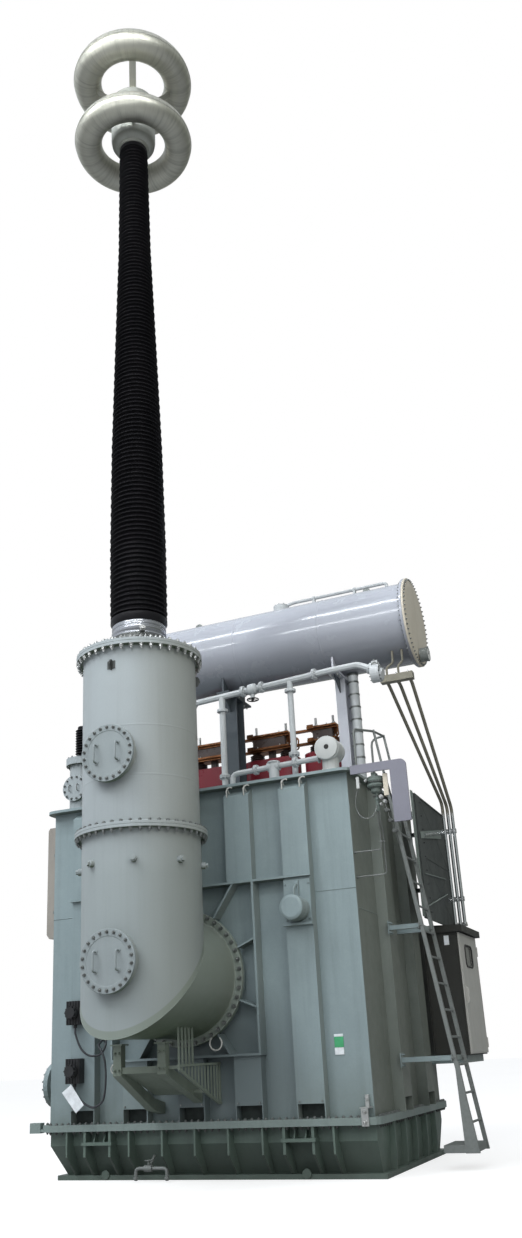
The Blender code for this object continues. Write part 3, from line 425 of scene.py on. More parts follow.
def metal(name, color, dark, rough=0.35, grain=(1, 1, 1), grain_scale=30, amount=0.3, spin=None, metallic=1.0):
    """Bare metal with its grain; spin = (centre, pitch) gives turning marks round Z instead."""
    t = Tree(name)
    if spin is not None:
        place, pitch = spin
        offset = t.nodes.new("ShaderNodeVectorMath")
        offset.operation = "SUBTRACT"
        offset.inputs[1].default_value = place
        t.link(t.coords, offset.inputs[0])
        wave = t.nodes.new("ShaderNodeTexWave")
        wave.wave_type = "BANDS"
        wave.bands_direction = "Z"
        wave.inputs["Scale"].default_value = pitch
        wave.inputs["Distortion"].default_value = 2.0
        wave.inputs["Detail"].default_value = 3.0
        wave.inputs["Detail Scale"].default_value = 1.5
        t.link(offset.outputs["Vector"], wave.inputs["Vector"])
        lines = wave.outputs["Fac"]
    else:
        lines = t.noise(grain_scale, 4, 0.6, t.scaled(*grain))
    cloud = t.noise(3.0, 4, 0.6)
    base = t.mix(t.ramp(cloud, [(0.3, 0.0), (0.75, 1.0)]), color, tuple(c * 0.86 for c in color))
    base = t.mix(t.ramp(lines, [(0.45, 0.0), (0.9, amount)]), base, dark)
    t.color(base)
    t.rough(t.ramp(t.math("ADD", t.math("MULTIPLY", lines, 0.5), t.math("MULTIPLY", cloud, 0.5)),
                   [(0.25, max(0.05, rough - 0.1)), (0.8, rough + 0.14)]))
    t.set(Metallic=metallic)
    t.bump((lines, 0.10, 0.002))
    return t.material


TANK_DARK = (0.110, 0.135, 0.128)
M = {
    # Tank paint; a painted shadow of the turret's elbow darkens the front wall round (0.30, -1.75, 1.25).
    "tank": paint("tank_paint_look", (0.246, 0.306, 0.318), TANK_DARK, 0.40, 0.32,
                  low=(1.5, 0.9, (0.150, 0.180, 0.168)), under_shade=(0.110, 0.135, 0.115), side=(0.230, 0.250, 0.225), shadow_pool=((0.30, -1.75, 1.25), 1.35, 0.95)),
    # Right wall: a darker copy of the tank paint, painted shade of the side turned away from the light.
    "tank_in_shade": paint("tank_in_shade_look", (0.200, 0.222, 0.200), (0.095, 0.105, 0.090), 0.42, 0.45,
                       low=(2.6, 2.2, (0.110, 0.125, 0.108)), under_shade=(0.10, 0.12, 0.10), side=(0.150, 0.162, 0.138)),
    "lower": paint("lower_paint_look", (0.120, 0.165, 0.140), (0.060, 0.078, 0.066), 0.42, 0.5,
                   low=(0.55, 0.5, (0.085, 0.105, 0.090)), under_shade=(0.05, 0.06, 0.05)),
    "flange": paint("flange_paint_look", (0.205, 0.252, 0.238), TANK_DARK, 0.42, 0.4, under_shade=(0.09, 0.11, 0.09)),
    "conservator": paint("conservator_paint_look", (0.385, 0.400, 0.450), (0.24, 0.25, 0.28), 0.20, 0.10,
                         coat=0.8, waves=0.10, under_shade=(0.20, 0.205, 0.23)),
    "end": paint("end_paint_look", (0.58, 0.525, 0.43), (0.38, 0.34, 0.28), 0.40, 0.25),
    "pipe": paint("pipe_paint_look", (0.50, 0.52, 0.53), (0.22, 0.235, 0.24), 0.36, 0.3),
    # Left post and the post gussets: a dark copy of the right post's paint, painted shade of the turret's shadow over
    # the left post.
    "dark_post": paint("shaded_post_look", (0.060, 0.072, 0.082), (0.035, 0.040, 0.044), 0.45, 0.4),
    "portal": paint("portal_paint_look", (0.200, 0.198, 0.238), (0.12, 0.12, 0.145), 0.42, 0.3),
    # Cabinet body nearly black: painted shade of its faces away from the light; the door has the lit face's lighter
    # tone.
    "cabinet": paint("cabinet_shaded_look", (0.034, 0.034, 0.030), (0.020, 0.019, 0.017), 0.48, 0.4),
    "cabinet_door": paint("cabinet_door_look", (0.47, 0.46, 0.43), (0.30, 0.29, 0.27), 0.45, 0.35),
    "panel": paint("panel_paint_look", (0.060, 0.068, 0.066), (0.035, 0.038, 0.038), 0.50, 0.35),
    "maroon": paint("maroon_paint_look", (0.155, 0.012, 0.020), (0.07, 0.008, 0.012), 0.32, 0.3),
    "post": paint("right_post_look", (0.50, 0.51, 0.56), (0.30, 0.30, 0.33), 0.35, 0.3, coat=0.2),
    "duct": paint("duct_paint_look", (0.30, 0.275, 0.245), (0.16, 0.145, 0.13), 0.45, 0.4),
    "lid": paint("lid_paint_look", (0.258, 0.290, 0.298), (0.14, 0.16, 0.15), 0.40, 0.25, under_shade=(0.06, 0.085, 0.055), waves=0.15),
    "gauge": paint("gauge_paint_look", (0.135, 0.165, 0.150), (0.06, 0.075, 0.07), 0.42, 0.4),
    "bracket": paint("bracket_paint_look", (0.175, 0.205, 0.168), (0.07, 0.085, 0.07), 0.45, 0.4),
    "white": paint("white_paint_look", (0.50, 0.51, 0.50), (0.42, 0.43, 0.41), 0.38, 0.25),
    # Pale tone for the side panel's bent edge and creases: painted light.
    "lit_strip": paint("panel_lit_edges_look", (0.20, 0.235, 0.215), (0.11, 0.13, 0.12), 0.42, 0.4),
    "cream": paint("cream_plate_look", (0.50, 0.50, 0.47), (0.45, 0.44, 0.42), 0.45, 0.2),
}


def turret_paint():
    """The turret's light grey, with painted shade: its side away from the windows, a band just above the elbow's mitre
    and its faces turned down are darkened to olive; the lower part is greener and darker towards its foot.
    """
    t = Tree("turret_paint_look")
    color, dark = (0.328, 0.360, 0.372), (0.18, 0.20, 0.18)
    slow = t.ramp(t.noise(0.9, 3, 0.5), [(0.32, 0.0), (0.72, 1.0)])
    base = t.mix(slow, color, tuple(c * 0.92 for c in color))
    runs = t.ramp(t.noise(1.0, 5, 0.6, t.scaled(8.0, 8.0, 0.4)), [(0.50, 0.0), (0.82, 0.22)])
    base = t.mix(runs, base, dark)
    # painted shade: olive on the side turned away from the light
    base = t.mix(t.math("MULTIPLY", t.facing((0.86, 0.10, -0.2), 0.20, 1.0), 0.55), base, (0.275, 0.270, 0.215))
    # painted shade: a green band just above the elbow's mitre
    shade = t.math("MULTIPLY", t.along((0, 0.7071, -0.7071), (TY - TZ) * 0.7071 - 0.070, (TY - TZ) * 0.7071 - 0.060),
                   0.58)
    base = t.mix(shade, base, (0.165, 0.195, 0.125))
    # greener and darker towards the foot
    base = t.mix(t.math("MULTIPLY", t.along((0, 0, 1), 4.40, 3.60), 0.36), base, (0.170, 0.202, 0.190))
    # painted shade on faces turned down
    base = t.mix(t.facing((0, 0, -1), 0.30, 0.95), base, (0.075, 0.100, 0.060))
    fine = t.ramp(t.noise(52, 3, 0.6), [(0.35, 0.0), (0.75, 0.08)])
    t.color(t.mix(fine, base, dark))
    t.rough(t.ramp(t.noise(3.0, 5, 0.6), [(0.3, 0.34), (0.75, 0.52)]))
    t.set(Specular_IOR_Level=0.42)
    t.bump((t.noise(1.8, 2, 0.5), 0.25, 0.008), (t.noise(260, 2, 0.5), 0.10, 0.0012))
    return t.material


M["turret"] = turret_paint()
M["zinc"] = metal("zinc_look", (0.66, 0.66, 0.64), (0.36, 0.36, 0.35), 0.34, grain_scale=55)
M["dull_zinc"] = metal("dull_zinc_look", (0.30, 0.31, 0.30), (0.14, 0.15, 0.14), 0.50, grain_scale=55)
M["dark_bolt"] = metal("dark_bolt_look", (0.10, 0.105, 0.10), (0.05, 0.05, 0.05), 0.50, grain_scale=60, metallic=0.7)
M["galvanised"] = metal("galvanised_look", (0.25, 0.265, 0.255), (0.14, 0.15, 0.145), 0.48, grain_scale=26, amount=0.5,
                        metallic=0.55)


def tube_steel():
    """Bright steel tubes; their upper runs are dull and dark brown."""
    t = Tree("tube_run_look")
    grain = t.noise(60, 4, 0.6, t.scaled(1, 1, 0.05))
    upper = t.along((0, 0, 1), 4.90, 5.02)
    bright = t.mix(t.ramp(grain, [(0.45, 0.0), (0.9, 0.3)]), (0.66, 0.68, 0.68), (0.36, 0.38, 0.38))
    dull = t.mix(t.ramp(t.noise(4, 4, 0.6), [(0.3, 0.0), (0.7, 1.0)]), (0.235, 0.220, 0.170), (0.160, 0.150, 0.120))
    t.color(t.mix(upper, bright, dull))
    t.rough(t.ramp(t.math("ADD", t.math("MULTIPLY", grain, 0.4), t.math("MULTIPLY", upper, 0.4)), [(0.2, 0.22), (0.8, 0.58)]))
    t.link(t.math("SUBTRACT", 1.0, t.math("MULTIPLY", upper, 0.75)), t.shader.inputs["Metallic"])
    t.bump((grain, 0.10, 0.002))
    return t.material


M["tube_steel"] = tube_steel()
M["spun"] = metal("spun_aluminium_look", (0.52, 0.53, 0.56), (0.30, 0.30, 0.32), 0.30, spin=((TX, TY, 0.0), 9.0),
                  amount=0.35)
M["cast"] = metal("cast_aluminium_look", (0.40, 0.41, 0.375), (0.26, 0.265, 0.24), 0.50, grain_scale=18, amount=0.35,
                  metallic=0.55)
M["bright"] = metal("bright_metal_look", (0.80, 0.80, 0.79), (0.50, 0.50, 0.50), 0.22, grain_scale=40)
M["copper"] = metal("copper_look", (0.31, 0.135, 0.060), (0.045, 0.026, 0.018), 0.42, grain_scale=12, amount=0.95)
M["inner_steel"] = metal("inner_steel_look", (0.30, 0.30, 0.30), (0.15, 0.15, 0.15), 0.5)


def ring_metal(center_z, name):
    """Spun aluminium of a grading ring: marks that run round it, streaks across, dull cloud."""
    t = Tree(name)
    local = t.nodes.new("ShaderNodeVectorMath")
    local.operation = "SUBTRACT"
    local.inputs[1].default_value = (TX, TY, center_z)
    t.link(t.coords, local.inputs[0])
    split = t.nodes.new("ShaderNodeSeparateXYZ")
    t.link(local.outputs["Vector"], split.inputs["Vector"])
    angle = t.math("ARCTAN2", split.outputs["Y"], split.outputs["X"])
    across = t.nodes.new("ShaderNodeCombineXYZ")
    t.link(t.math("MULTIPLY", angle, 7.0), across.inputs["X"])
    t.link(t.math("MULTIPLY", split.outputs["Z"], 1.2), across.inputs["Z"])
    streaks = t.noise(2.2, 4, 0.60, across.outputs["Vector"])
    cloud = t.noise(2.4, 4, 0.6)
    base = t.mix(t.ramp(cloud, [(0.3, 0.0), (0.7, 1.0)]), (0.62, 0.61, 0.53), (0.50, 0.495, 0.43))
    base = t.mix(t.ramp(streaks, [(0.48, 0.0), (0.76, 0.55)]), base, (0.30, 0.295, 0.26))
    t.color(base)
    t.rough(t.ramp(streaks, [(0.3, 0.34), (0.7, 0.58)]))
    t.set(Metallic=1.0)
    t.bump((streaks, 0.12, 0.004), (t.noise(2.0, 2, 0.5), 0.2, 0.01))
    return t.material


M["ring_low"] = ring_metal(RING_LOW[0], "ring_low_look")
M["ring_high"] = ring_metal(RING_HIGH[0], "ring_high_look")


def rubber():
    t = Tree("silicone_look")
    dust = t.ramp(t.noise(1.4, 5, 0.65, t.scaled(3, 3, 0.7)), [(0.4, 0.0), (0.8, 0.6)])
    t.color(t.mix(dust, (0.0060, 0.0057, 0.0070), (0.0140, 0.0120, 0.0140)))
    t.rough(t.ramp(t.noise(9, 4, 0.6), [(0.3, 0.34), (0.7, 0.56)]))
    t.set(Specular_IOR_Level=0.28)
    t.bump((t.noise(90, 3, 0.6), 0.12, 0.002))
    return t.material


def plastic(name, color, rough=0.45, pitch=120):
    t = Tree(name)
    t.color(t.mix(t.ramp(t.noise(8, 4, 0.6), [(0.35, 0.0), (0.75, 1.0)]), color,
                  tuple(min(1.0, c * 1.5 + 0.004) for c in color)))
    t.rough(t.ramp(t.noise(14, 4, 0.6), [(0.3, rough - 0.08), (0.7, rough + 0.12)]))
    t.bump((t.noise(pitch, 3, 0.6), 0.18, 0.0012))
    return t.material


def pane():
    t = Tree("pane_look")
    smear = t.ramp(t.noise(6, 5, 0.6), [(0.35, 0.0), (0.8, 0.5)])
    t.color(t.mix(smear, (0.150, 0.148, 0.140), (0.210, 0.205, 0.195)))
    t.rough(t.ramp(t.noise(11, 4, 0.6), [(0.3, 0.06), (0.75, 0.22)]))
    t.set(Specular_IOR_Level=0.7)
    t.bump((t.noise(3, 2, 0.5), 0.08, 0.003))
    return t.material


M["rubber"] = rubber()
M["black"] = plastic("black_plastic_look", (0.014, 0.014, 0.015))
M["gasket"] = plastic("gasket_look", (0.020, 0.019, 0.018), 0.6)
# Near-black sheet: painted shade inside the stiffeners' open feet.
M["soot"] = plastic("soot_look", (0.018, 0.024, 0.022), 0.7, 60)
M["cable"] = plastic("cable_look", (0.030, 0.032, 0.036), 0.5)
M["green"] = plastic("green_plate_look", (0.05, 0.30, 0.13), 0.4)
M["tag"] = plastic("tag_look", (0.62, 0.64, 0.66), 0.5)
M["insulator"] = plastic("insulator_look", (0.050, 0.034, 0.030), 0.3)
M["pane"] = pane()
M["dial"] = plastic("dial_look", (0.60, 0.60, 0.58), 0.35)

# ------------------------------------------------------------------ finishes of the solids
LOOK = {
    "base_plate": "lower", "lower_tank": "lower", "tank_lower_flange": "flange", "tank_upper_flange": "flange",
    "core_and_coils": "inner_steel", "front_wall": "tank", "back_wall": "tank", "right_wall": "tank_in_shade",
    "left_wall": "tank", "cover_plate": "tank", "turret_frame": "tank", "turret_wall_flange": "flange",
    "turret_elbow": "turret", "turret_upper": "turret", "turret_top_plate": "turret",
    "manhole_cover_upper": "turret", "manhole_cover_lower": "turret", "elbow_bracket": "bracket",
    "bushing_base": "spun", "bushing_insulator": "rubber", "bushing_cap": "cast",
    "grading_ring_lower": "ring_low", "grading_ring_upper": "ring_high", "conservator_shell": "conservator",
    "conservator_end_right": "end", "conservator_end_left": "conservator", "conservator_post_left": "dark_post",
    "conservator_post_right": "post", "breather_pipe": "pipe", "oil_pipe": "pipe", "gas_relay": "pipe",
    "banded_pipe": "pipe", "level_gauge": "galvanised", "lv_base_a": "maroon", "lv_base_b": "maroon",
    "lv_base_c": "maroon", "lv_busbars": "copper", "cover_pipe": "pipe", "neutral_turret": "turret",
    "neutral_bushing": "rubber", "pressure_relief_valve": "white", "ladder": "galvanised",
    "ladder_bracket_upper": "tank", "ladder_bracket_lower": "tank",
    "gauge_portal": "portal", "gauge_box": "tank", "cabinet_body": "cabinet", "cabinet_door": "cabinet_door",
    "cabinet_window": "pane", "cabinet_bracket": "tank", "side_panel": "panel", "conduits": "tube_steel",
    "left_valve_flange": "tank", "left_duct": "duct", "drain_pipe": "galvanised", "thermometer_drum": "tank",
    "connector_upper": "black", "connector_lower": "black",
    "cable_upper": "cable", "cable_lower": "cable",
}
for name, obj in NODES.items():
    look = M[LOOK.get(name, "tank")]
    if obj.data.materials:
        for i in range(len(obj.data.materials)):
            obj.data.materials[i] = look
    else:
        obj.data.materials.append(look)

# ------------------------------------------------------------------ free cables
CABLE_R = 0.014
for tag, points in (
        ("upper", [(-1.79, -1.93, 1.9747), (-1.79, -1.93, 1.90), (-1.775, -1.945, 1.84), (-1.70, -1.95, 1.68),
                   (-1.60, -1.95, 1.585), (-1.483, -1.935, 1.554), (-1.39, -1.91, 1.585), (-1.345, -1.875, 1.68),
                   (-1.36, -1.83, 1.82), (-1.42, -1.80, 1.93), (-1.42, -1.765, 1.97), (-1.42, -1.7004, 1.97)]),
        ("lower", [(-1.79, -1.93, 1.2197), (-1.79, -1.93, 1.16), (-1.775, -1.945, 1.10), (-1.71, -1.95, 1.03),
                   (-1.60, -1.95, 0.95), (-1.48, -1.95, 0.913), (-1.36, -1.95, 0.97), (-1.31, -1.96, 1.065),
                   (-1.285, -1.97, 1.256), (-1.295, -1.97, 1.45), (-1.34, -1.955, 1.576), (-1.43, -1.91, 1.68),
                   (-1.46, -1.82, 1.72), (-1.46, -1.765, 1.75), (-1.46, -1.7004, 1.75)])):
    route = smooth_path(points, 5)
    m = Mesh()
    m.tube(route, CABLE_R, 14)
    cable = m.done("cable_run_" + tag, M["cable"], replaces=["cable_" + tag], smooth=50)

# ------------------------------------------------------------------ bushing
# Insulator: a long tapering core with sheds of two sizes, one after the other.


def bush_radius(z):
    for (z0, r0), (z1, r1) in zip(BUSH, BUSH[1:]):
        if z <= z1:
            return r0 + (r1 - r0) * max(0.0, z - z0) / (z1 - z0)
    return BUSH[-1][1]


m = Mesh()
z_low, z_high, pitch = BUSH_Z0 + 0.002, BUSH_Z1 - 0.002, 0.0725
profile = [(0.0, z_high), (bush_radius(z_high) - 0.006, z_high), (bush_radius(z_high) - 0.006, z_high - 0.07)]
z, k = z_high - 0.09, 0
while z > z_low + 0.13:
    tip = bush_radius(z) - (0.0 if k % 2 == 0 else 0.007)
    core = bush_radius(z) - 0.048
    profile += [(core, z + 0.022), (core + 0.012, z + 0.012), (tip - 0.004, z - 0.014), (tip, z - 0.019),
                (tip - 0.003, z - 0.024), (core + 0.010, z - 0.023), (core, z - 0.030)]
    z -= pitch
    k += 1
profile += [(0.40, z_low + 0.11), (0.402, z_low + 0.055), (0.372, z_low), (0.0, z_low)]
m.lathe(profile, at=(TX, TY, 0), seg=64)
m.done("bushing_sheds", M["rubber"], replaces=["bushing_insulator"], smooth=50)

m = Mesh()
m.lathe([(0, BUSH_Z0), (0.372, BUSH_Z0), (0.380, 7.162), (0.380, 7.115), (0.374, 7.110), (0.374, 7.075), (0.385, 7.068),
         (0.385, 7.025), (0.378, 7.015), (0.378, 6.985), (0.385, 6.975), (0.0, 6.975)], at=(TX, TY, 0), seg=96)
m.done("bushing_sleeve", M["spun"], replaces=["bushing_base"])
m = Mesh()
m.lathe([(0, 6.976), (0.392, 6.976), (0.40, 6.965), (0.43, 6.90), (0.47, 6.875), (0.594, 6.812), (0.60, 6.802),
         (0.60, 6.715), (0.592, 6.7025), (0, 6.7025)], at=(TX, TY, 0), seg=96)
for i in range(12):
    a = math.tau * i / 12
    web = Matrix.Translation((TX, TY, 0)) @ Matrix.Rotation(a, 4, "Z")
    m.prism([(0.40, 6.80), (0.565, 6.80), (0.40, 6.955)], web @ Matrix(((1, 0, 0, 0), (0, 0, -1, 0.008), (0, 1, 0, 0),
                                                                       (0, 0, 0, 1))), 0.016)
m.done("bushing_foot", M["dark_bolt"])
m = Mesh()
for i in range(24):
    a = math.tau * (i + 0.5) / 24
    m.nut((TX + 0.548 * math.cos(a), TY + 0.548 * math.sin(a), 6.822), (0, 0, 1), 0.036, 0.024, 0.02, turn=a)
# Test tap and oil valve on the base.
for a, r in ((-55, 0.045), (125, 0.035)):
    u = Vector((math.cos(math.radians(a)), math.sin(math.radians(a)), 0))
    p = Vector((TX, TY, 7.02)) + u * 0.37
    m.rod(p, p + u * 0.055, r, 20, chamfer=0.004)
    m.rod(p + u * 0.05, p + u * 0.085, r * 0.7, 16, chamfer=0.004)
m.done("bushing_bolts", M["zinc"])

m = Mesh()
m.lathe([(0, CAP_TOP), (0.325, CAP_TOP), (0.335, CAP_TOP - 0.004), (CAP_R, CAP_TOP - 0.034), (CAP_R, 16.93),
         (CAP_R - 0.006, 16.925), (CAP_R - 0.006, 16.905), (CAP_R, 16.90), (CAP_R, 16.28), (0.362, 16.20),
         (0.335, 16.150), (0.285, 16.118), (0.264, 16.108), (0.25, BUSH_Z1 + 0.0005), (0, BUSH_Z1 + 0.0005)], at=(TX, TY, 0), seg=96)
m.done("bushing_head", M["cast"], replaces=["bushing_cap"])


def spoke(m, angle, a, b, width=0.06, thick=0.016):
    (r0, z0), (r1, z1) = a, b
    place = (Matrix.Translation((TX, TY, 0)) @ Matrix.Rotation(math.radians(angle), 4, "Z")
             @ Matrix.Translation((r0, 0, z0)) @ Matrix.Rotation(-math.atan2(z1 - z0, r1 - r0), 4, "Y"))
    m.box((0, -width / 2, -thick / 2), (math.hypot(r1 - r0, z1 - z0), width / 2, thick / 2), place)


SPOKES = (28.5, 118.5, 208.5, 298.5)
for tag, (z, ring_r, ring_t), look in (("lower", RING_LOW, "ring_low"), ("upper", RING_HIGH, "ring_high")):
    m = Mesh()
    rings = []
    for i in range(128):
        a = math.tau * i / 128
        rings.append([(TX + (ring_r + ring_t * math.cos(b)) * math.cos(a),
                       TY + (ring_r + ring_t * math.cos(b)) * math.sin(a), z + ring_t * math.sin(b))
                      for b in (math.tau * k / 40 for k in range(40))])
    m.loft(rings, closed=True)
    # Weld bead where the two spun halves meet, on the outside.
    m.tube([(TX + (ring_r + ring_t) * math.cos(a), TY + (ring_r + ring_t) * math.sin(a), z)
            for a in (math.tau * i / 96 for i in range(96))], 0.006, 6, closed=True)
    for a in SPOKES if tag == "upper" else SPOKES[1::2]:
        if tag == "lower":
            spoke(m, a, (CAP_R + 0.003, z + 0.10), (0.66, z + 0.02))
            u = Vector((math.cos(math.radians(a)), math.sin(math.radians(a)), 0))
            m.box((CAP_R - 0.001, -0.05, 16.34), (CAP_R + 0.010, 0.05, 16.44),
                  Matrix.Translation((TX, TY, 0)) @ Matrix.Rotation(math.radians(a), 4, "Z"))
            for dz in (-0.03, 0.03):
                m.nut(Vector((TX, TY, 16.39 + dz)) + u * (CAP_R + 0.009), u, 0.022, 0.014, 0.008)
        else:
            spoke(m, a, (0.315, CAP_TOP + 0.012), (0.70, z - 0.12), 0.115)
            spoke(m, a, (0.10, CAP_TOP + 0.021), (0.345, CAP_TOP + 0.021), 0.05, 0.020)
            u = Vector((math.cos(math.radians(a)), math.sin(math.radians(a)), 0))
            for r in (0.22, 0.30):
                m.nut(Vector((TX, TY, CAP_TOP + 0.030)) + u * r, (0, 0, 1), 0.026, 0.016, 0.008)
    if tag == "upper":
        m.rod((TX, TY, CAP_TOP + 0.0003), (TX, TY, CAP_TOP + 0.04), 0.16, 48, chamfer=0.004)
    m.done("ring_" + tag, M[look], replaces=["grading_ring_" + tag], smooth=40)

# ------------------------------------------------------------------ turret
SEG = 96


def circle_at(radius, z, seg=SEG):
    return [(TX + radius * math.cos(math.tau * i / seg), TY + radius * math.sin(math.tau * i / seg), z)
            for i in range(seg)]


m = Mesh()
profile = [(0, Z_TOP1 - 0.0003), (T_FLANGE - 0.003, Z_TOP1 - 0.0003), (T_FLANGE, Z_TOP1 - 0.004), (T_FLANGE, Z_TOP0 + 0.004),
           (T_FLANGE - 0.003, Z_TOP0), (TR + 0.012, Z_TOP0), (TR + 0.003, Z_TOP0 - 0.010), (TR, Z_TOP0 - 0.022)]
for z in (5.52, 4.86):   # girth welds of the shell
    profile += [(TR, z + 0.012), (TR + 0.0018, z + 0.006), (TR + 0.0018, z - 0.006), (TR, z - 0.012)]
profile += [(TR, Z_MID2 + 0.022), (TR + 0.003, Z_MID2 + 0.010), (TR + 0.012, Z_MID2), (T_FLANGE - 0.003, Z_MID2),
            (T_FLANGE, Z_MID2 - 0.004), (T_FLANGE, Z_MID1 + 0.004), (T_FLANGE - 0.003, Z_MID1 + 0.0003), (0, Z_MID1 + 0.0003)]
m.lathe(profile, at=(TX, TY, 0), seg=SEG)


def nozzle(m, z):
    y0 = TY - TR
    m.lathe([(0.28, -0.30), (0.30, -0.30), (0.30, 0.078), (0.302, 0.080), (MANHOLE_R, 0.080), (MANHOLE_R, 0.120),
             (0.05, 0.120)], at=(TX + 0.02, y0, z), axis=(0, -1, 0), seg=64)
    # weld round the neck, lying on the shell
    ring = []
    for i in range(64):
        a = math.tau * i / 64
        x, dz = 0.02 + 0.304 * math.cos(a), 0.304 * math.sin(a)
        ring.append((TX + x, TY - math.sqrt(TR * TR - x * x) - 0.002, z + dz))
    m.tube(ring, 0.009, 6, closed=True)


nozzle(m, MANHOLE_Z[0])
m.done("turret_shell_upper", M["turret"], replaces=["turret_upper"])

m = Mesh()
rings = [circle_at(T_FLANGE - 0.003, Z_MID1 - 0.0003), circle_at(T_FLANGE, Z_MID1 - 0.004), circle_at(T_FLANGE, Z_MID0 + 0.004),
         circle_at(T_FLANGE - 0.003, Z_MID0), circle_at(TR + 0.012, Z_MID0), circle_at(TR + 0.003, Z_MID0 - 0.010),
         circle_at(TR, Z_MID0 - 0.022)]
knee = [(x, y, TZ + (y - TY)) for x, y, _ in circle_at(TR, 0)]
for t in (0.01, 0.25, 0.5, 0.75, 0.985):
    rings.append([(x, y, Z_MID0 - 0.022 + (kz - Z_MID0 + 0.022) * t) for (x, y, kz) in knee])
rings.append(knee)
for t in (0.015, 0.33, 0.66, 1.0):
    rings.append([(x, y + (-WALL_Y - 0.215 - y) * t, kz) for x, y, kz in knee])
out = []
for radius, y in ((TR, -WALL_Y - 0.205), (TR + 0.003, -WALL_Y - 0.198), (TR + 0.012, -WALL_Y - 0.19),
                  (WALL_FLANGE - 0.003, -WALL_Y - 0.19), (WALL_FLANGE, -WALL_Y - 0.186), (WALL_FLANGE, -WALL_Y - 0.1445),
                  (WALL_FLANGE - 0.003, -WALL_Y - 0.1403)):
    out.append([(TX + (x - TX) / TR * radius, y, TZ + (kz - TZ) / TR * radius) for x, _, kz in knee])
rings += out
m.loft(rings)
# Weld bead along the mitre.
m.tube([(x, y, kz) for x, y, kz in knee], 0.004, 6, closed=True)
nozzle(m, MANHOLE_Z[1])
# Eight pipe sockets with plugs round the shell.
for i in range(8):
    a = math.radians(-90 + 22.5 + 45 * i - 1.5)
    u = Vector((math.cos(a), math.sin(a), 0))
    p = Vector((TX, TY, 3.79)) + u * (TR - 0.01)
    m.rod(p, p + u * 0.065, 0.046, 20, chamfer=0.004)
    m.rod(p + u * 0.060, p + u * 0.095, 0.032, 6)
m.done("turret_knee", M["turret"], replaces=["turret_elbow"], smooth=30)

m = Mesh()
m.lathe([(0, Z_TOP2), (T_FLANGE - 0.003, Z_TOP2), (T_FLANGE, Z_TOP2 - 0.004), (T_FLANGE, Z_TOP1 + 0.004),
         (T_FLANGE - 0.003, Z_TOP1), (0, Z_TOP1)], at=(TX, TY, 0), seg=SEG)
for a in (20, 140, 260):
    u = Vector((math.cos(math.radians(a)), math.sin(math.radians(a)), 0))
    w = Vector((-u.y, u.x, 0))
    m.prism([(-0.05, 0), (0.05, 0), (0.03, 0.09), (-0.03, 0.09)],
            Matrix.Translation(Vector((TX, TY, Z_TOP2)) + u * 0.70) @ Matrix((w, Vector((0, 0, 1)), u)).transposed().to_4x4(),
            0.014)
m.done("turret_lid", M["turret"], replaces=["turret_top_plate"])

# Studs and nuts of the turret's two joints.
m = Mesh()
for i in range(40):
    a = math.tau * (i + 0.35) / 40
    p = Vector((TX + 0.838 * math.cos(a), TY + 0.838 * math.sin(a), 0))
    m.nut(p + Vector((0, 0, Z_TOP2)), (0, 0, 1), 0.046, 0.026, 0.010, turn=a)
    m.nut(p + Vector((0, 0, Z_TOP0)), (0, 0, -1), 0.046, 0.034, 0.026, turn=a)
m.done("turret_top_nuts", M["zinc"])
m = Mesh()
for i in range(44):
    a = math.tau * (i + 0.35) / 44
    p = Vector((TX + 0.838 * math.cos(a), TY + 0.838 * math.sin(a), 0))
    m.nut(p + Vector((0, 0, Z_MID2)), (0, 0, 1), 0.042, 0.022, 0.008, turn=a)
    m.nut(p + Vector((0, 0, Z_MID0)), (0, 0, -1), 0.042, 0.030, 0.022, turn=a)
for i in range(44):
    a = math.tau * (i + 0.5) / 44
    m.nut((TX + 0.848 * math.cos(a), -WALL_Y - 0.19, TZ + 0.848 * math.sin(a)), (0, -1, 0), 0.042, 0.030, 0.022, turn=a)
m.done("turret_joint_nuts", M["dull_zinc"])

# Manhole covers with their nuts and two handles each.
for tag, z in (("upper", MANHOLE_Z[0]), ("lower", MANHOLE_Z[1])):
    y0 = TY - TR - 0.1203
    x0 = TX + 0.02
    m = Mesh()
    m.lathe([(0, 0.026), (0.285, 0.026), (0.29, 0.030), (MANHOLE_R - 0.004, 0.030), (MANHOLE_R, 0.026), (MANHOLE_R, 0.002),
             (MANHOLE_R - 0.003, 0.0), (0, 0.0)], at=(x0, y0, z), axis=(0, -1, 0), seg=72)
    for dx in (-0.155, 0.155):
        path = rounded_path([(x0 + dx, y0 - 0.02, z - 0.115), (x0 + dx, y0 - 0.095, z - 0.115), (x0 + dx, y0 - 0.095, z + 0.115),
                             (x0 + dx, y0 - 0.02, z + 0.115)], 0.035)
        m.tube(path, 0.0125, 12)
        for dz in (-0.115, 0.115):
            m.rod((x0 + dx, y0 - 0.026, z + dz), (x0 + dx, y0 - 0.034, z + dz), 0.026, 16)
    m.done("manhole_lid_" + tag, M["lid"], replaces=["manhole_cover_" + tag])
    m = Mesh()
    for i in range(22):
        a = math.tau * (i + 0.5) / 22
        m.nut((x0 + 0.335 * math.cos(a), y0 - 0.030, z + 0.335 * math.sin(a)), (0, -1, 0), 0.032, 0.020, 0.014, turn=a)
    m.done("manhole_nuts_" + tag, M["dull_zinc"])

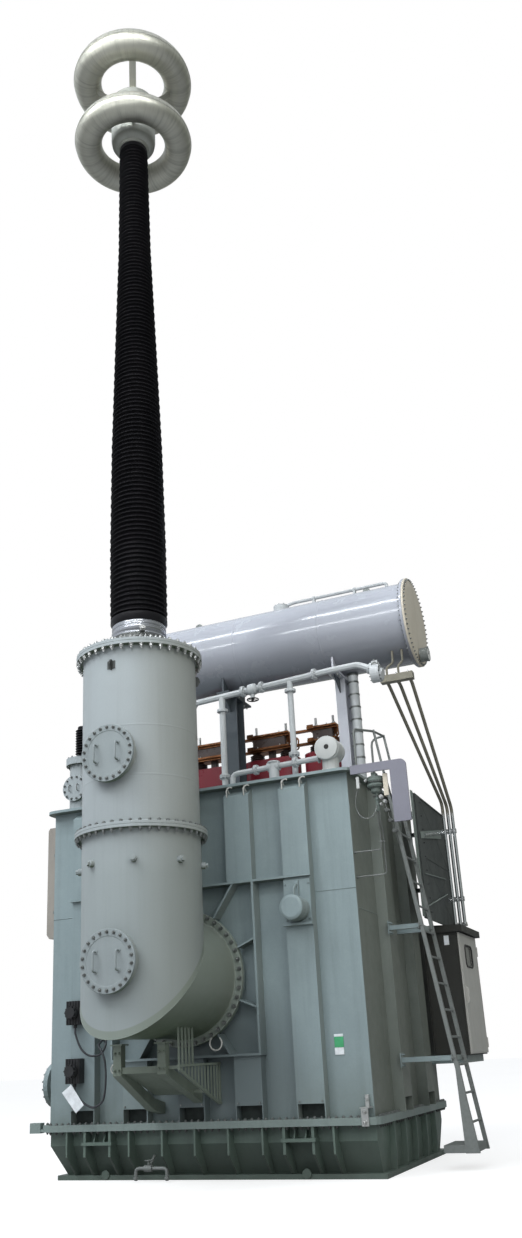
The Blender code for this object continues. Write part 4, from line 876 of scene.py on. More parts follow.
# Lifting lug with its shackle hole under the turret's top flange, on the front left.
m = Mesh()
for a in (-90, 30, 150):
    u = Vector((math.cos(math.radians(a)), math.sin(math.radians(a)), 0))
    w = Vector((-u.y, u.x, 0))
    place = Matrix.Translation(Vector((TX, TY, 6.37)) + u * (TR - 0.004) - w * 0.011) @ Matrix((u, Vector((0, 0, 1)), w)).transposed().to_4x4()
    m.prism([(0, -0.07), (0.035, -0.065), (0.060, -0.02), (0.060, 0.035), (0.035, 0.07), (0, 0.075)], place, 0.022)
    m.box((0.0, -0.055, -0.045), (0.012, 0.055, 0.067), place)
    p = Vector((TX, TY, 6.372)) + u * (TR + 0.035)
    m.tube([p + 0.020 * (math.cos(t) * u + math.sin(t) * Vector((0, 0, 1))) for t in (math.tau * i / 16 for i in range(16))],
           0.011, 8, closed=True)
m.done("turret_lifting_lugs", M["dark_bolt"])

# ------------------------------------------------------------------ bracket and grille under the elbow
def yz(x):
    """The YZ plane at x, for prisms that grow along +X."""
    return Matrix(((0, 0, 1, x), (1, 0, 0, 0), (0, 1, 0, 0), (0, 0, 0, 1)))


m = Mesh()
F_IN, F_FACE = -1.7003, -1.8503
for x, end, low in ((-0.60, F_IN, 0.80), (0.02, F_FACE, 0.92)):
    m.prism([(-2.855, 1.415), (-2.745, 1.38), (-2.745, 1.652), (-2.855, 1.652)], yz(x - 0.055), 0.11)
    m.prism([(-2.86, 1.30), (-2.0, low + 0.06), (end, low), (end, low + 0.14), (-2.0, low + 0.20), (-2.86, 1.42)],
            yz(x - 0.06), 0.12)
    m.box((x - 0.085, -2.885, 1.650), (x + 0.085, -2.715, 1.668))
    for y, z in ((-2.8603, 1.36), (-2.8553, 1.56)):
        for dx in (-0.03, 0.03):
            m.nut((x + dx, y, z), (0, -1, 0), 0.030, 0.02, 0.012)
m.prism([(-2.83, 1.34), (-2.0, 1.05), (-1.87, 1.03), (-1.87, 1.05), (-2.0, 1.07), (-2.83, 1.36)], yz(-0.545), 0.51)
m.box((-0.541, -2.84, 1.32), (-0.039, -2.76, 1.395))
for y0, y1, z0, z1 in ((-2.80, -2.76, 1.35, 1.39), (-2.10, -2.06, 1.05, 1.09)):
    m.box((0.05, y0, z0), (0.262, y1, z1))
# the guard: a top bar, a sloping lower bar, an end bar and upright slats
GX = 0.26
m.box((GX, -2.90, 1.372), (GX + 0.03, F_IN, 1.40))
m.prism([(-2.90, 1.335), (-1.78, 0.895), (F_IN, 0.895), (F_IN, 0.925), (-1.78, 0.925), (-2.90, 1.365)], yz(GX), 0.03)
m.box((GX, F_IN - 0.03, 0.90), (GX + 0.02, F_IN, 1.40))
m.box((GX, F_IN - 0.10, 0.91), (GX + 0.02, F_IN - 0.085, 1.40))
for i in range(11):
    y = -2.80 + 0.092 * i
    m.box((GX + 0.002, y - 0.007, 1.345 - 0.393 * (y + 2.90)), (GX + 0.020, y + 0.007, 1.39))
for i in range(5):
    y = -2.88 + 0.095 * i
    top = TZ - math.sqrt(TR * TR - (GX + 0.01 - TX) ** 2) - 0.004
    m.box((GX + 0.002, y - 0.010, 1.395), (GX + 0.022, y + 0.010, top))
m.done("bracket_and_guard", M["bracket"], replaces=["elbow_bracket"])
# Bent bar shackles under the elbow and on the bracket.
m = Mesh()
m.tube(arc((0.36, -1.99, 1.63), (1, 0, 0), (0, 0, 1), 0.085, 130, 410, 28), 0.010, 8)
m.tube(arc((-0.80, -2.55, 1.38), (1, 0, 0), (0, 0, 1), 0.062, 40, 330, 24), 0.009, 8)
m.done("shackles", M["cream"])

# ------------------------------------------------------------------ tank
# Nuts of the joint between lower and upper tank, above and below its plates.
m = Mesh()


def rim_points(inset, pitch):
    x, y, r = FL_X - inset, FL_Y - inset, 0.14
    path = []
    for (x0, y0), (x1, y1) in (((-x + r, -y), (x - r, -y)), ((x, -y + r), (x, y - r)), ((x - r, y), (-x + r, y)),
                               ((-x, y - r), (-x, -y + r))):
        n = max(1, round(math.hypot(x1 - x0, y1 - y0) / pitch))
        for i in range(n + 1):
            path.append((x0 + (x1 - x0) * i / n, y0 + (y1 - y0) * i / n))
    return path


for x, y in rim_points(0.036, 0.0933):
    m.nut((x, y, 0.698), (0, 0, 1), 0.036, 0.018, 0.008, washer=True, turn=RND.random())
m.done("tank_joint_nuts", M["dull_zinc"])
m = Mesh()
for x, y in rim_points(0.036, 0.0933):
    clear = all(abs(abs(x) - q) > 0.045 for q in (1.97,)) if abs(y) > 1.7 else True
    if abs(y) > 1.7:
        for q in (-1.97, -1.02, -0.53, -0.06, 0.41, 0.88, 1.82, -1.69, -1.31, 1.17, 1.55):
            if abs(x - q) < 0.038:
                clear = False
    else:
        for q in (-1.13, -0.60, -0.06, 0.49, 1.02):
            if abs(abs(y) - abs(q)) < 0.038:
                clear = False
    if clear:
        m.nut((x, y, 0.613), (0, 0, -1), 0.036, 0.022, 0.016, washer=False, turn=RND.random())
m.done("tank_joint_bolts", M["dark_bolt"])

# Weld seams of the wall plates, between the stiffeners.
m = Mesh()
xs = [-WALL_X] + [v for x in FRONT_STIFF_X for v in (x - 0.19, x + 0.19)] + [WALL_X]
for side, seam_z in ((-1, 3.46), (1, 3.05)):
    ends = xs if side < 0 else [-x for x in reversed(xs)]
    for x0, x1 in zip(ends[0::2], ends[1::2]):
        if side < 0 and x1 > TX - 1.15 and x0 < TX + 1.15:
            continue
        y = side * (WALL_Y + 0.001)
        m.tube([(x0 + (x1 - x0) * i / 10, y, seam_z + 0.0015 * math.sin(i * 2.1)) for i in range(11)], 0.006, 6)
for side in (-1, 1):
    ys = [-WALL_Y + 0.04] + [side * v for y in sorted(SIDE_STIFF_Y, key=lambda q: q * side) for v in
                             ((side * y - 0.19), (side * y + 0.19))] + [WALL_Y - 0.04]
    ys.sort()
    for y0, y1 in zip(ys[0::2], ys[1::2]):
        x = side * (WALL_X + 0.001)
        m.tube([(x, y0 + (y1 - y0) * i / 8, 3.2 + 0.0015 * math.sin(i * 1.7)) for i in range(9)], 0.006, 6)
m.done("wall_welds", M["tank"])

# Dark sheets in the open feet of the stiffeners: painted shade of their deep insides.
m = Mesh()
for x in FRONT_STIFF_X:
    for side in (-1, 1):
        lo, hi = sorted((side * (WALL_Y + 0.0004), side * (WALL_Y + 0.006)))
        c = x if side < 0 else -x
        m.box((c - 0.172, lo, 0.704), (c + 0.172, hi, 0.905))
for y in SIDE_STIFF_Y:
    for side in (-1, 1):
        lo, hi = sorted((side * (WALL_X + 0.0004), side * (WALL_X + 0.006)))
        m.box((lo, side * y - 0.172, 0.704), (hi, side * y + 0.172, 0.905))
m.done("stiffener_mouths", M["soot"])

# Lifting hooks of bent bar at the stiffener heads.
m = Mesh()
for x in FRONT_STIFF_X[2:]:
    for dx in (-0.13, 0.13):
        px, y = x + dx, -WALL_Y - 0.004
        m.tube(smooth_path([(px, y, 4.905), (px, y - 0.06, 4.925), (px, y - 0.10, 4.955), (px, y - 0.125, 4.985),
                            (px - 0.004, y - 0.12, 5.004)], 4), 0.011, 8)
        m.tube(smooth_path([(px, y - 0.155, 4.86), (px, y - 0.158, 4.90), (px, y - 0.165, 4.95), (px + 0.02, y - 0.160, 4.985),
                            (px + 0.055, y - 0.158, 4.996), (px + 0.085, y - 0.158, 4.985)], 4), 0.010, 8)
m.done("stiffener_hooks", M["cream"])

# Studs at the stiffener feet.
m = Mesh()
for x in FRONT_STIFF_X:
    for side in (-1, 1):
        y = side * (WALL_Y + 0.151)
        for dx in (-0.15, 0.15):
            m.rod(((x if side < 0 else -x) + dx, y - side * 0.004, 0.90),
                  ((x if side < 0 else -x) + dx, y + side * 0.012, 0.90), 0.012, 12)
m.done("foot_studs", M["dull_zinc"])

# Small fittings on the front wall's left bay: earth stud plates, a clip and a bare plate.
m = Mesh()
yw = -WALL_Y - 0.0005
for x0, x1, z0, z1, d in ((-1.335, -1.26, 4.52, 4.60, 0.03), (-1.36, -1.33, 4.02, 4.30, 0.035),
                          (-1.40, -1.25, 3.30, 3.56, 0.02), (-1.43, -1.24, 3.26, 3.29, 0.05)):
    m.box((x0, yw - d, z0), (x1, yw + 0.01, z1))
m.done("wall_fittings", M["flange"], bevel=0.003)

# Small plate, half green and half pale, without any marking, on the right bay.
m = Mesh()
yp = -WALL_Y - 0.0005
m.box((1.873, yp - 0.012, 1.505), (1.992, yp + 0.004, 1.632))
m.done("plate_green", M["green"], bevel=0.002)
m = Mesh()
m.box((1.873, yp - 0.013, 1.420), (1.992, yp + 0.004, 1.504))
for x in (1.885, 1.980):
    for z in (1.432, 1.648):
        m.rod((x, yp - 0.010, z), (x, yp - 0.017, z), 0.006, 10)
m.box((1.873, yp - 0.012, 1.633), (1.992, yp + 0.004, 1.664))
m.done("plate_pale", M["tag"], bevel=0.002)

# Earth clamp across the joint at the front right corner.
m = Mesh()
m.box((2.20, -FL_Y - 0.020, 0.60), (2.29, -FL_Y - 0.002, 0.80))
m.box((2.185, -FL_Y - 0.014, 0.80), (2.305, -WALL_Y - 0.02, 0.815))
m.box((2.22, -WALL_Y - 0.035, 0.80), (2.27, -WALL_Y - 0.003, 0.95))
for z in (0.64, 0.76):
    m.nut((2.245, -FL_Y - 0.020, z), (0, -1, 0), 0.040, 0.026, 0.02)
m.nut((2.245, -WALL_Y - 0.035, 0.89), (0, -1, 0), 0.036, 0.024, 0.018)
m.done("earth_clamp", M["zinc"], bevel=0.002)

# Thermometer drum: its face, strap and gland.
m = Mesh()
m.lathe([(0.0, 0.012), (0.128, 0.012), (0.134, 0.008), (0.150, 0.006), (0.158, 0.0), (0.158, -0.02)], at=(1.56, -2.1405, 3.23),
        axis=(0, -1, 0), seg=56)
m.lathe([(0.1605, 0.0), (0.164, 0.004), (0.164, 0.030), (0.1605, 0.034)], at=(1.56, -1.95, 3.23), axis=(0, -1, 0), seg=56)
m.lathe([(0.1605, 0.0), (0.163, 0.003), (0.163, 0.016), (0.1605, 0.019)], at=(1.56, -2.10, 3.23), axis=(0, -1, 0), seg=56)
m.tube(smooth_path([(1.56, -2.00, 3.39), (1.56, -2.00, 3.47), (1.56, -1.93, 3.53), (1.56, -1.875, 3.56)], 5), 0.016, 10)
for x in (1.40, 1.72):
    for z in (3.10, 3.56):
        m.nut((x, -1.870, z), (0, -1, 0), 0.022, 0.014, 0.01)
m.done("thermometer_details", M["tank"])

# Two multipole connectors: ribs, latch and locking ring.
for tag, z0, z1 in (("upper", 1.975, 2.28), ("lower", 1.22, 1.53)):
    z = (z0 + z1) / 2
    m = Mesh()
    for k in range(5):
        m.box((-1.905 + 0.044 * k, -1.990, z0 - 0.004), (-1.885 + 0.044 * k, -1.855, z1 + 0.004))
    m.box((-1.915, -1.965, z - 0.060), (-1.905, -1.875, z + 0.060))
    m.lathe([(0.078, 0.0), (0.085, 0.004), (0.085, 0.030), (0.078, 0.034)], at=(-1.795, -2.00, z), axis=(0, -1, 0), seg=32)
    for k in range(10):
        a = math.tau * k / 10
        m.rod((-1.795 + 0.08 * math.cos(a), -2.04, z + 0.08 * math.sin(a)),
              (-1.795 + 0.08 * math.cos(a), -2.075, z + 0.08 * math.sin(a)), 0.010, 8)
    m.rod((-1.79, -1.93, z0 - 0.045), (-1.79, -1.93, z0 + 0.01), 0.028, 6)
    m.done("connector_ribs_" + tag, M["black"], bevel=0.002)
# Blank tag wired to the lower connector.
m = Mesh()
tag_plane = Matrix(((1, 0, 0, 0), (0, 0, 1, -2.006), (0, 1, 0, 0), (0, 0, 0, 1)))
m.prism([(-1.945, 1.11), (-1.722, 0.85), (-1.60, 0.948), (-1.80, 1.207)], tag_plane, 0.004)
m.prism([(-1.915, 1.095), (-1.72, 0.868), (-1.70, 0.885), (-1.895, 1.112)], tag_plane @ Matrix.Translation((0, 0, -0.002)), 0.002)
m.tube([(-1.82, -2.004, 1.18), (-1.815, -2.0, 1.205), (-1.81, -1.975, 1.222)], 0.003, 6)
m.done("blank_tag", M["tag"], bevel=0.001)

# ------------------------------------------------------------------ cover
m = Mesh()
for x, y in ((-2.0, 1.45), (2.05, 1.45), (-2.0, -0.2), (2.05, -0.65)):
    w = Matrix.Translation((x, y, 5.0495)) @ Matrix(((1, 0, 0, 0), (0, 0, -1, 0), (0, 1, 0, 0), (0, 0, 0, 1)))
    m.prism([(-0.10, 0), (0.10, 0), (0.055, 0.16), (0.02, 0.185), (-0.02, 0.185), (-0.055, 0.16)], w, 0.028)
for x, y, r in ((-1.05, 1.25, 0.26), (1.45, 1.30, 0.26), (-1.35, -0.30, 0.20)):
    m.lathe([(0, 0.045), (r - 0.004, 0.045), (r, 0.041), (r, 0.024), (r + 0.0, 0.022), (r, 0.002), (r, 0.0)], at=(x, y, 5.0503), seg=48)
    n = 18
    for i in range(n):
        a = math.tau * i / n
        m.nut((x + (r - 0.03) * math.cos(a), y + (r - 0.03) * math.sin(a), 5.095), (0, 0, 1), 0.028, 0.018, 0.012, turn=a)
m.done("cover_fittings", M["tank"])

# Pressure relief valve: cap, dark outlet and bolts.
m = Mesh()
m.lathe([(0.0, 0.020), (0.05, 0.020), (0.11, 0.014), (0.162, 0.002), (0.1705, -0.012), (0.1705, -0.03)], at=(1.95, -1.3803, 5.50),
        axis=(0, -1, 0), seg=56)
m.lathe([(0.1705, 0.0), (0.178, 0.004), (0.178, 0.026), (0.1705, 0.030)], at=(1.95, -1.30, 5.50), axis=(0, -1, 0), seg=56)
m.lathe([(0.1705, 0.0), (0.178, 0.004), (0.178, 0.026), (0.1705, 0.030)], at=(1.95, -1.07, 5.50), axis=(0, -1, 0), seg=56)
for i in range(12):
    a = math.tau * i / 12
    m.nut((1.95 + 0.165 * math.cos(a), -1.20 + 0.165 * math.sin(a), 5.1705), (0, 0, 1), 0.026, 0.016, 0.01, turn=a)
m.done("relief_details", M["white"])
m = Mesh()
m.lathe([(0.0, 0.012), (0.026, 0.012), (0.034, 0.004), (0.036, 0.0), (0.036, -0.01)], at=(1.965, -1.400, 5.505), axis=(0, -1, 0), seg=28)
m.done("relief_outlet", M["gasket"])

# Neutral turret's blind flange and its bolts, sheds of the small bushing.
NX, NY = -2.14, -1.25
m = Mesh()
for i in range(12):
    a = math.tau * (i + 0.5) / 12
    m.nut((NX + 0.175 * math.cos(a), NY - 0.2303, 5.47 + 0.175 * math.sin(a)), (0, -1, 0), 0.028, 0.018, 0.012, turn=a)
for i in range(14):
    a = math.tau * i / 14
    m.nut((NX + 0.225 * math.cos(a), NY + 0.225 * math.sin(a), 5.9702), (0, 0, 1), 0.026, 0.016, 0.01, turn=a)
    m.nut((NX + 0.225 * math.cos(a), NY + 0.225 * math.sin(a), 5.8598), (0, 0, -1), 0.026, 0.016, 0.01, turn=a)
for dx in (-0.07, 0.07):
    m.tube(rounded_path([(NX + dx, NY - 0.225, 5.42), (NX + dx, NY - 0.27, 5.42), (NX + dx, NY - 0.27, 5.52), (NX + dx, NY - 0.225, 5.52)],
                        0.02), 0.008, 8)
m.done("neutral_bolts", M["dull_zinc"])
m = Mesh()
profile = [(0, 6.518), (0.07, 6.518), (0.078, 6.49)]
z = 6.46
while z > 6.06:
    profile += [(0.072, z + 0.016), (0.108, z - 0.010), (0.110, z - 0.014), (0.106, z - 0.018), (0.072, z - 0.020)]
    z -= 0.042
profile += [(0.085, 6.03), (0.16, 6.0), (0.168, 5.99), (0.168, 5.9715), (0, 5.9715)]
m.lathe(profile, at=(NX, NY, 0), seg=40)
m.done("neutral_sheds", M["rubber"], replaces=["neutral_bushing"], smooth=50)

# Low-voltage bushings: dark insulators round the copper studs, clamps and studs on top.
m = Mesh()
for gx0, half in LV_GROUPS:
    for dx in (-half, half):
        profile = [(0.056, 6.135), (0.075, 6.13)]
        z = 6.11
        while z > 6.02:
            profile += [(0.082, z + 0.010), (0.118, z - 0.006), (0.120, z - 0.010), (0.116, z - 0.013), (0.082, z - 0.014)]
            z -= 0.032
        profile += [(0.10, 6.005), (0.15, 5.995), (0.152, 5.9805), (0.056, 5.9805)]
        m.lathe(profile, at=(gx0 + dx, LV_Y, 0), seg=32)
m.done("lv_insulators", M["insulator"], smooth=50)
m = Mesh()
for gx0, half in LV_GROUPS:
    for dx in (-half, half):
        x = gx0 + dx
        m.rod((x, LV_Y, 6.40), (x, LV_Y, 6.60), 0.020, 14, chamfer=0.003)
        m.nut((x, LV_Y, 6.4402), (0, 0, 1), 0.075, 0.030, 0)
        for z in (6.19, 6.41):
            for ex, ey in ((-0.07, -0.15), (0.07, -0.15), (-0.07, 0.15), (0.07, 0.15)):
                m.nut((x + ex, LV_Y + ey, z + 0.0002), (0, 0, 1), 0.026, 0.018, 0.016)
m.done("lv_studs", M["zinc"])
# Flexible laminated links and dark insulating blocks between the bars.
m = Mesh()
for gx0, half in LV_GROUPS:
    x = gx0 + half
    for k in range(5):
        y = LV_Y - 0.20 + 0.10 * k
        m.tube(smooth_path([(x + 0.105, y, 6.385), (x + 0.135, y, 6.34), (x + 0.13, y, 6.27), (x + 0.135, y, 6.21),
                            (x + 0.105, y, 6.175)], 4), 0.014, 8)
    for z in (6.16, 6.38):
        m.box((gx0 - half - 0.085, LV_Y - 0.232, z - 0.012), (gx0 - half + 0.02, LV_Y - 0.20, z + 0.052))
m.done("lv_links", M["copper"], bevel=0.003)
m = Mesh()
for gx0, half in LV_GROUPS:
    m.box((gx0 - half - 0.02, LV_Y - 0.14, 6.192), (gx0 + half + 0.02, LV_Y - 0.06, 6.378))
    m.box((gx0 - 0.05, LV_Y - 0.05, 5.981), (gx0 + 0.05, LV_Y + 0.05, 6.158))
m.done("lv_blocks", M["insulator"], bevel=0.004)
m = Mesh()
for gx0, half in LV_GROUPS:
    for i in range(22):
        t = i / 22 * math.tau
        sx = half * (1 if math.cos(t) > 0 else -1)
        m.nut((gx0 + sx + 0.232 * math.cos(t), LV_Y + 0.232 * math.sin(t), 5.0905), (0, 0, 1), 0.026, 0.016, 0.01, turn=t)
m.done("lv_base_nuts", M["dull_zinc"])

# ------------------------------------------------------------------ conservator
m = Mesh()
xm = [CONS_X1 - 0.0595, CONS_X1 - 0.063, CONS_X1 - 0.097, CONS_X1 - 0.1]
rings_profile = [(CONS_R - 0.015, CONS_X1 - 0.0603), (CONS_FLANGE - 0.003, CONS_X1 - 0.0603), (CONS_FLANGE, CONS_X1 - 0.064),
                 (CONS_FLANGE, CONS_X1 - 0.096), (CONS_FLANGE - 0.003, CONS_X1 - 0.100), (CONS_R + 0.010, CONS_X1 - 0.100),
                 (CONS_R, CONS_X1 - 0.112)]
for x in (1.72, 0.28):
    rings_profile += [(CONS_R, x + 0.012), (CONS_R + 0.003, x + 0.006), (CONS_R + 0.003, x - 0.006), (CONS_R, x - 0.012)]
rings_profile += [(CONS_R, CONS_X0 + 0.0603), (CONS_R - 0.015, CONS_X0 + 0.0603)]
m.lathe(rings_profile, at=(0, 0, CONS_Z), axis=(1, 0, 0), seg=112, closed=True)
# angle of a long seam on the lower rear; no seam is drawn
seam = math.radians(215)
m.done("conservator_drum", M["conservator"], replaces=["conservator_shell"], smooth=30)
m = Mesh()
m.lathe([(0, 0.0), (0.30, -0.002), (0.58, -0.008), (0.60, -0.012), (CONS_FLANGE - 0.004, -0.028), (CONS_FLANGE, -0.033),
         (CONS_FLANGE, -0.056), (CONS_FLANGE - 0.003, -0.0597), (0, -0.0597)], at=(CONS_X1, 0, CONS_Z), axis=(1, 0, 0), seg=112)
m.done("conservator_lid", M["end"], replaces=["conservator_end_right"], smooth=30)
m = Mesh()
m.lathe([(0, CONS_X0 + 0.0597), (CONS_R, CONS_X0 + 0.0597), (CONS_R - 0.008, CONS_X0 + 0.045), (CONS_R - 0.04, CONS_X0 + 0.02),
         (0.52, CONS_X0 - 0.008), (0.40, CONS_X0 - 0.028), (0.2, CONS_X0 - 0.045), (0, CONS_X0 - 0.05)], at=(0, 0, CONS_Z),
        axis=(1, 0, 0), seg=96)
m.done("conservator_dome", M["conservator"], replaces=["conservator_end_left"], smooth=40)
m = Mesh()
for i in range(56):
    a = math.tau * (i + 0.5) / 56
    y, z = 0.680 * math.cos(a), CONS_Z + 0.680 * math.sin(a)
    m.nut((CONS_X1 - 0.026, y, z), (1, 0, 0), 0.024, 0.014, 0.008, turn=a)
    m.nut((CONS_X1 - 0.1002, y, z), (-1, 0, 0), 0.024, 0.014, 0.008, turn=a)
m.done("conservator_nuts", M["dull_zinc"])
m = Mesh()
# Gauge: dial face with hand, and its rim.
gz = CONS_Z - 0.56
m.lathe([(0.11, -0.02), (0.116, -0.016), (0.116, 0.0), (0.108, 0.006), (0.10, 0.006), (0.10, 0.0)], at=(CONS_X1 + 0.12, 0, gz),
        axis=(1, 0, 0), seg=48)
for a in (45, 135, 225, 315):
    y, z = 0.095 * math.cos(math.radians(a)), gz + 0.095 * math.sin(math.radians(a))
    m.rod((CONS_X1 + 0.12, y, z), (CONS_X1 + 0.127, y, z), 0.007, 10)
# Lifting lugs on the drum.
for x in (-0.6, 2.4):
    w = Matrix.Translation((x, 0.014, CONS_Z + CONS_R - 0.01)) @ Matrix(((1, 0, 0, 0), (0, 0, -1, 0), (0, 1, 0, 0), (0, 0, 0, 1)))
    m.prism([(-0.09, 0), (0.09, 0), (0.05, 0.10), (0.02, 0.115), (-0.02, 0.115), (-0.05, 0.10)], w, 0.028)
m.done("conservator_fittings", M["galvanised"])
m = Mesh()
m.lathe([(0.0, 0.0025), (0.099, 0.002), (0.099, 0.0)], at=(CONS_X1 + 0.1203, 0, gz), axis=(1, 0, 0), seg=40)
m.done("gauge_dial", M["dial"])
m = Mesh()
for k in range(11):
    a = math.radians(-210 + 24 * k)
    p0 = Vector((CONS_X1 + 0.1225, 0.074 * math.cos(a), gz - 0.074 * math.sin(a)))
    p1 = Vector((CONS_X1 + 0.1225, 0.090 * math.cos(a), gz - 0.090 * math.sin(a)))
    m.rod(p0, p1, 0.0022, 6)
m.rod((CONS_X1 + 0.125, 0.0, gz), (CONS_X1 + 0.125, 0.042, gz + 0.055), 0.004, 8)
m.lathe([(0.0, 0.006), (0.012, 0.005), (0.014, 0.0)], at=(CONS_X1 + 0.1225, 0, gz), axis=(1, 0, 0), seg=20)
m.done("gauge_hand", M["gasket"])

# Post bolts, saddle bolts and gusset plates.
m = Mesh()
for px, width in ((-0.01, 0.20), (1.86, 0.16)):
    for y in (-0.19, 0.19):
        for dx in (-0.06, 0.06):
            m.nut((px + dx, y, 5.0752), (0, 0, 1), 0.032, 0.022, 0.02)
    for y in (-0.40, -0.28, 0.28, 0.40):
        for dx in (-0.055, 0.055):
            m.nut((px + dx, y, 6.9498), (0, 0, -1), 0.032, 0.020, 0.016)
m.done("post_nuts", M["zinc"])
m = Mesh()
for px, width, depth in ((-0.01, 0.20, 0.30), (1.86, 0.16, 0.24)):
    for sy in (-1, 1):
        w = Matrix.Translation((px - 0.006, 0, 0)) @ Matrix(((0, 0, 1, 0), (1, 0, 0, 0), (0, 1, 0, 0), (0, 0, 0, 1)))
        d = depth / 2
        m.prism([(sy * d, 6.72), (sy * (d + 0.02), 6.72), (sy * 0.40, 6.93), (sy * 0.40, 6.951), (sy * d, 6.951)], w, 0.012)
m.done("post_gussets", M["dark_post"])

# Breather pipe: flange, clips, and the fitting's bolts.
m = Mesh()
top = CONS_Z + CONS_R
for x in (1.5, 2.2):
    m.box((x - 0.02, -0.035, top - 0.006), (x + 0.02, 0.035, top + 0.104))
    m.rod((x - 0.022, 0, top + 0.13), (x + 0.022, 0, top + 0.13), 0.040, 20, chamfer=0.003)
m.lathe([(0.0, 0.0), (0.060, 0.0), (0.062, 0.004), (0.062, 0.020), (0.0, 0.022)], at=(2.74, 0, top + 0.02), seg=28)
for i in range(8):
    a = math.tau * i / 8
    m.nut((0.92 + 0.105 * math.cos(a), 0.105 * math.sin(a), top + 0.1102), (0, 0, 1), 0.022, 0.014, 0.01, turn=a)
m.done("breather_clips", M["pipe"])

# Oil pipe: flange pairs, a shut-off valve with its handwheel, drain stub, gas relay's windows.
OIL_Y = -0.95
m = Mesh()


def pipe_flange(m, at, axis, inner, outer, thick=0.018, bolts=8, bolt=0.020):
    axis = Vector(axis).normalized()
    at = Vector(at)
    for s in (-1, 1):
        m.lathe([(inner, 0.0015), (outer - 0.002, 0.0015), (outer, 0.004), (outer, thick - 0.002), (outer - 0.002, thick), (inner, thick)],
                at=at, axis=axis * s, seg=32)
        side = axis.orthogonal().normalized()
        up = axis.cross(side)
        for i in range(bolts):
            a = math.tau * (i + 0.5) / bolts
            r = (inner + outer) / 2 + 0.004
            m.nut(at + r * (math.cos(a) * side + math.sin(a) * up) + axis * s * thick, axis * s, bolt, bolt * 0.6, bolt * 0.4)


path_a, path_b = Vector((-0.75, OIL_Y, 6.650)), Vector((1.97, OIL_Y, 6.80))
along = (path_b - path_a).normalized()
for x in (-0.30, 0.55, 0.86, 1.72):
    p = path_a + along * ((x + 0.75) / along.x)
    pipe_flange(m, p, along, 0.050, 0.088)
m.lathe([(0.0, 0.0), (0.05, 0.0), (0.088, 0.004), (0.088, 0.022), (0.0, 0.024)], at=path_a - along * 0.010, axis=-along, seg=32)
pipe_flange(m, (1.32, OIL_Y, 5.60), (0, 0, 1), 0.044, 0.080)
pipe_flange(m, (0.188, OIL_Y, 5.42), (0, 0, 1), 0.047, 0.080)
for i in range(8):
    a = math.tau * (i + 0.5) / 8
    m.nut((1.32 + 0.135 * math.cos(a), OIL_Y + 0.135 * math.sin(a), 5.1205), (0, 0, 1), 0.026, 0.016, 0.01, turn=a)
    m.nut((0.188 + 0.085 * math.cos(a), OIL_Y + 0.085 * math.sin(a), 5.0905), (0, 0, 1), 0.020, 0.013, 0.01, turn=a)
# Valve body under the pipe.
p = path_a + along * ((0.705 + 0.75) / along.x)
m.lathe([(0.060, -0.075), (0.085, -0.055), (0.092, 0.0), (0.085, 0.055), (0.060, 0.075)], at=p, axis=along, seg=28)
m.rod(p + Vector((0, 0, -0.07)), p + Vector((0, 0, -0.15)), 0.034, 20, chamfer=0.004)
m.done("oil_pipe_fittings", M["pipe"])
m = Mesh()
wheel = p + Vector((0, 0, -0.165))
m.tube([wheel + 0.085 * Vector((math.cos(a), math.sin(a), 0)) for a in (math.tau * i / 32 for i in range(32))], 0.010, 8, closed=True)
for k in range(4):
    a = math.radians(45 + 90 * k)
    m.rod(wheel, wheel + 0.085 * Vector((math.cos(a), math.sin(a), 0)), 0.007, 8)
m.rod(wheel + Vector((0, 0, 0.03)), wheel + Vector((0, 0, -0.03)), 0.017, 12, chamfer=0.003)
m.done("oil_valve_wheel", M["gasket"])
m = Mesh()
for s in (-1, 1):
    m.lathe([(0.0, 0.004), (0.038, 0.004), (0.046, 0.0), (0.050, 0.0), (0.052, 0.008), (0.050, 0.012), (0.044, 0.012), (0.040, 0.006),
             (0.0, 0.006)][3:8], at=(2.675, OIL_Y + s * 0.060, 6.73), axis=(0, s, 0), seg=28)
    m.rod((2.675, OIL_Y + s * 0.058, 6.73), (2.675, OIL_Y + s * 0.063, 6.73), 0.042, 24)
m.rod((2.66, OIL_Y, 6.80), (2.66, OIL_Y, 6.845), 0.018, 14, chamfer=0.003)
m.rod((2.69, OIL_Y, 6.80), (2.69, OIL_Y, 6.830), 0.014, 12, chamfer=0.003)
for x, r in ((2.6115, 0.135), (2.7395, 0.135)):
    for i in range(10):
        a = math.tau * i / 10
        m.nut((x, OIL_Y + 0.112 * math.cos(a), 6.62 + 0.112 * math.sin(a)), (1 if x > 2.7 else -1, 0, 0), 0.020, 0.012, 0.01, turn=a)
m.done("gas_relay_details", M["dull_zinc"])

# Bands round the pipe beside the right post, with straps to it.
m = Mesh()
BX, BY = 2.036, 0.04
for k in range(9):
    z = 5.26 + 0.205 * k
    m.lathe([(0.0775, -0.014), (0.083, -0.012), (0.083, 0.012), (0.0775, 0.014)], at=(BX, BY, z), seg=36)
    m.box((BX - 0.105, BY - 0.012, z - 0.012), (BX - 0.078, BY + 0.012, z + 0.012))
m.lathe([(0.0, 0.0), (0.07, 0.0), (0.085, -0.02), (0.085, -0.05), (0.0, -0.06)], at=(BX, BY, 7.062), seg=36)
m.done("pipe_bands", M["dull_zinc"])

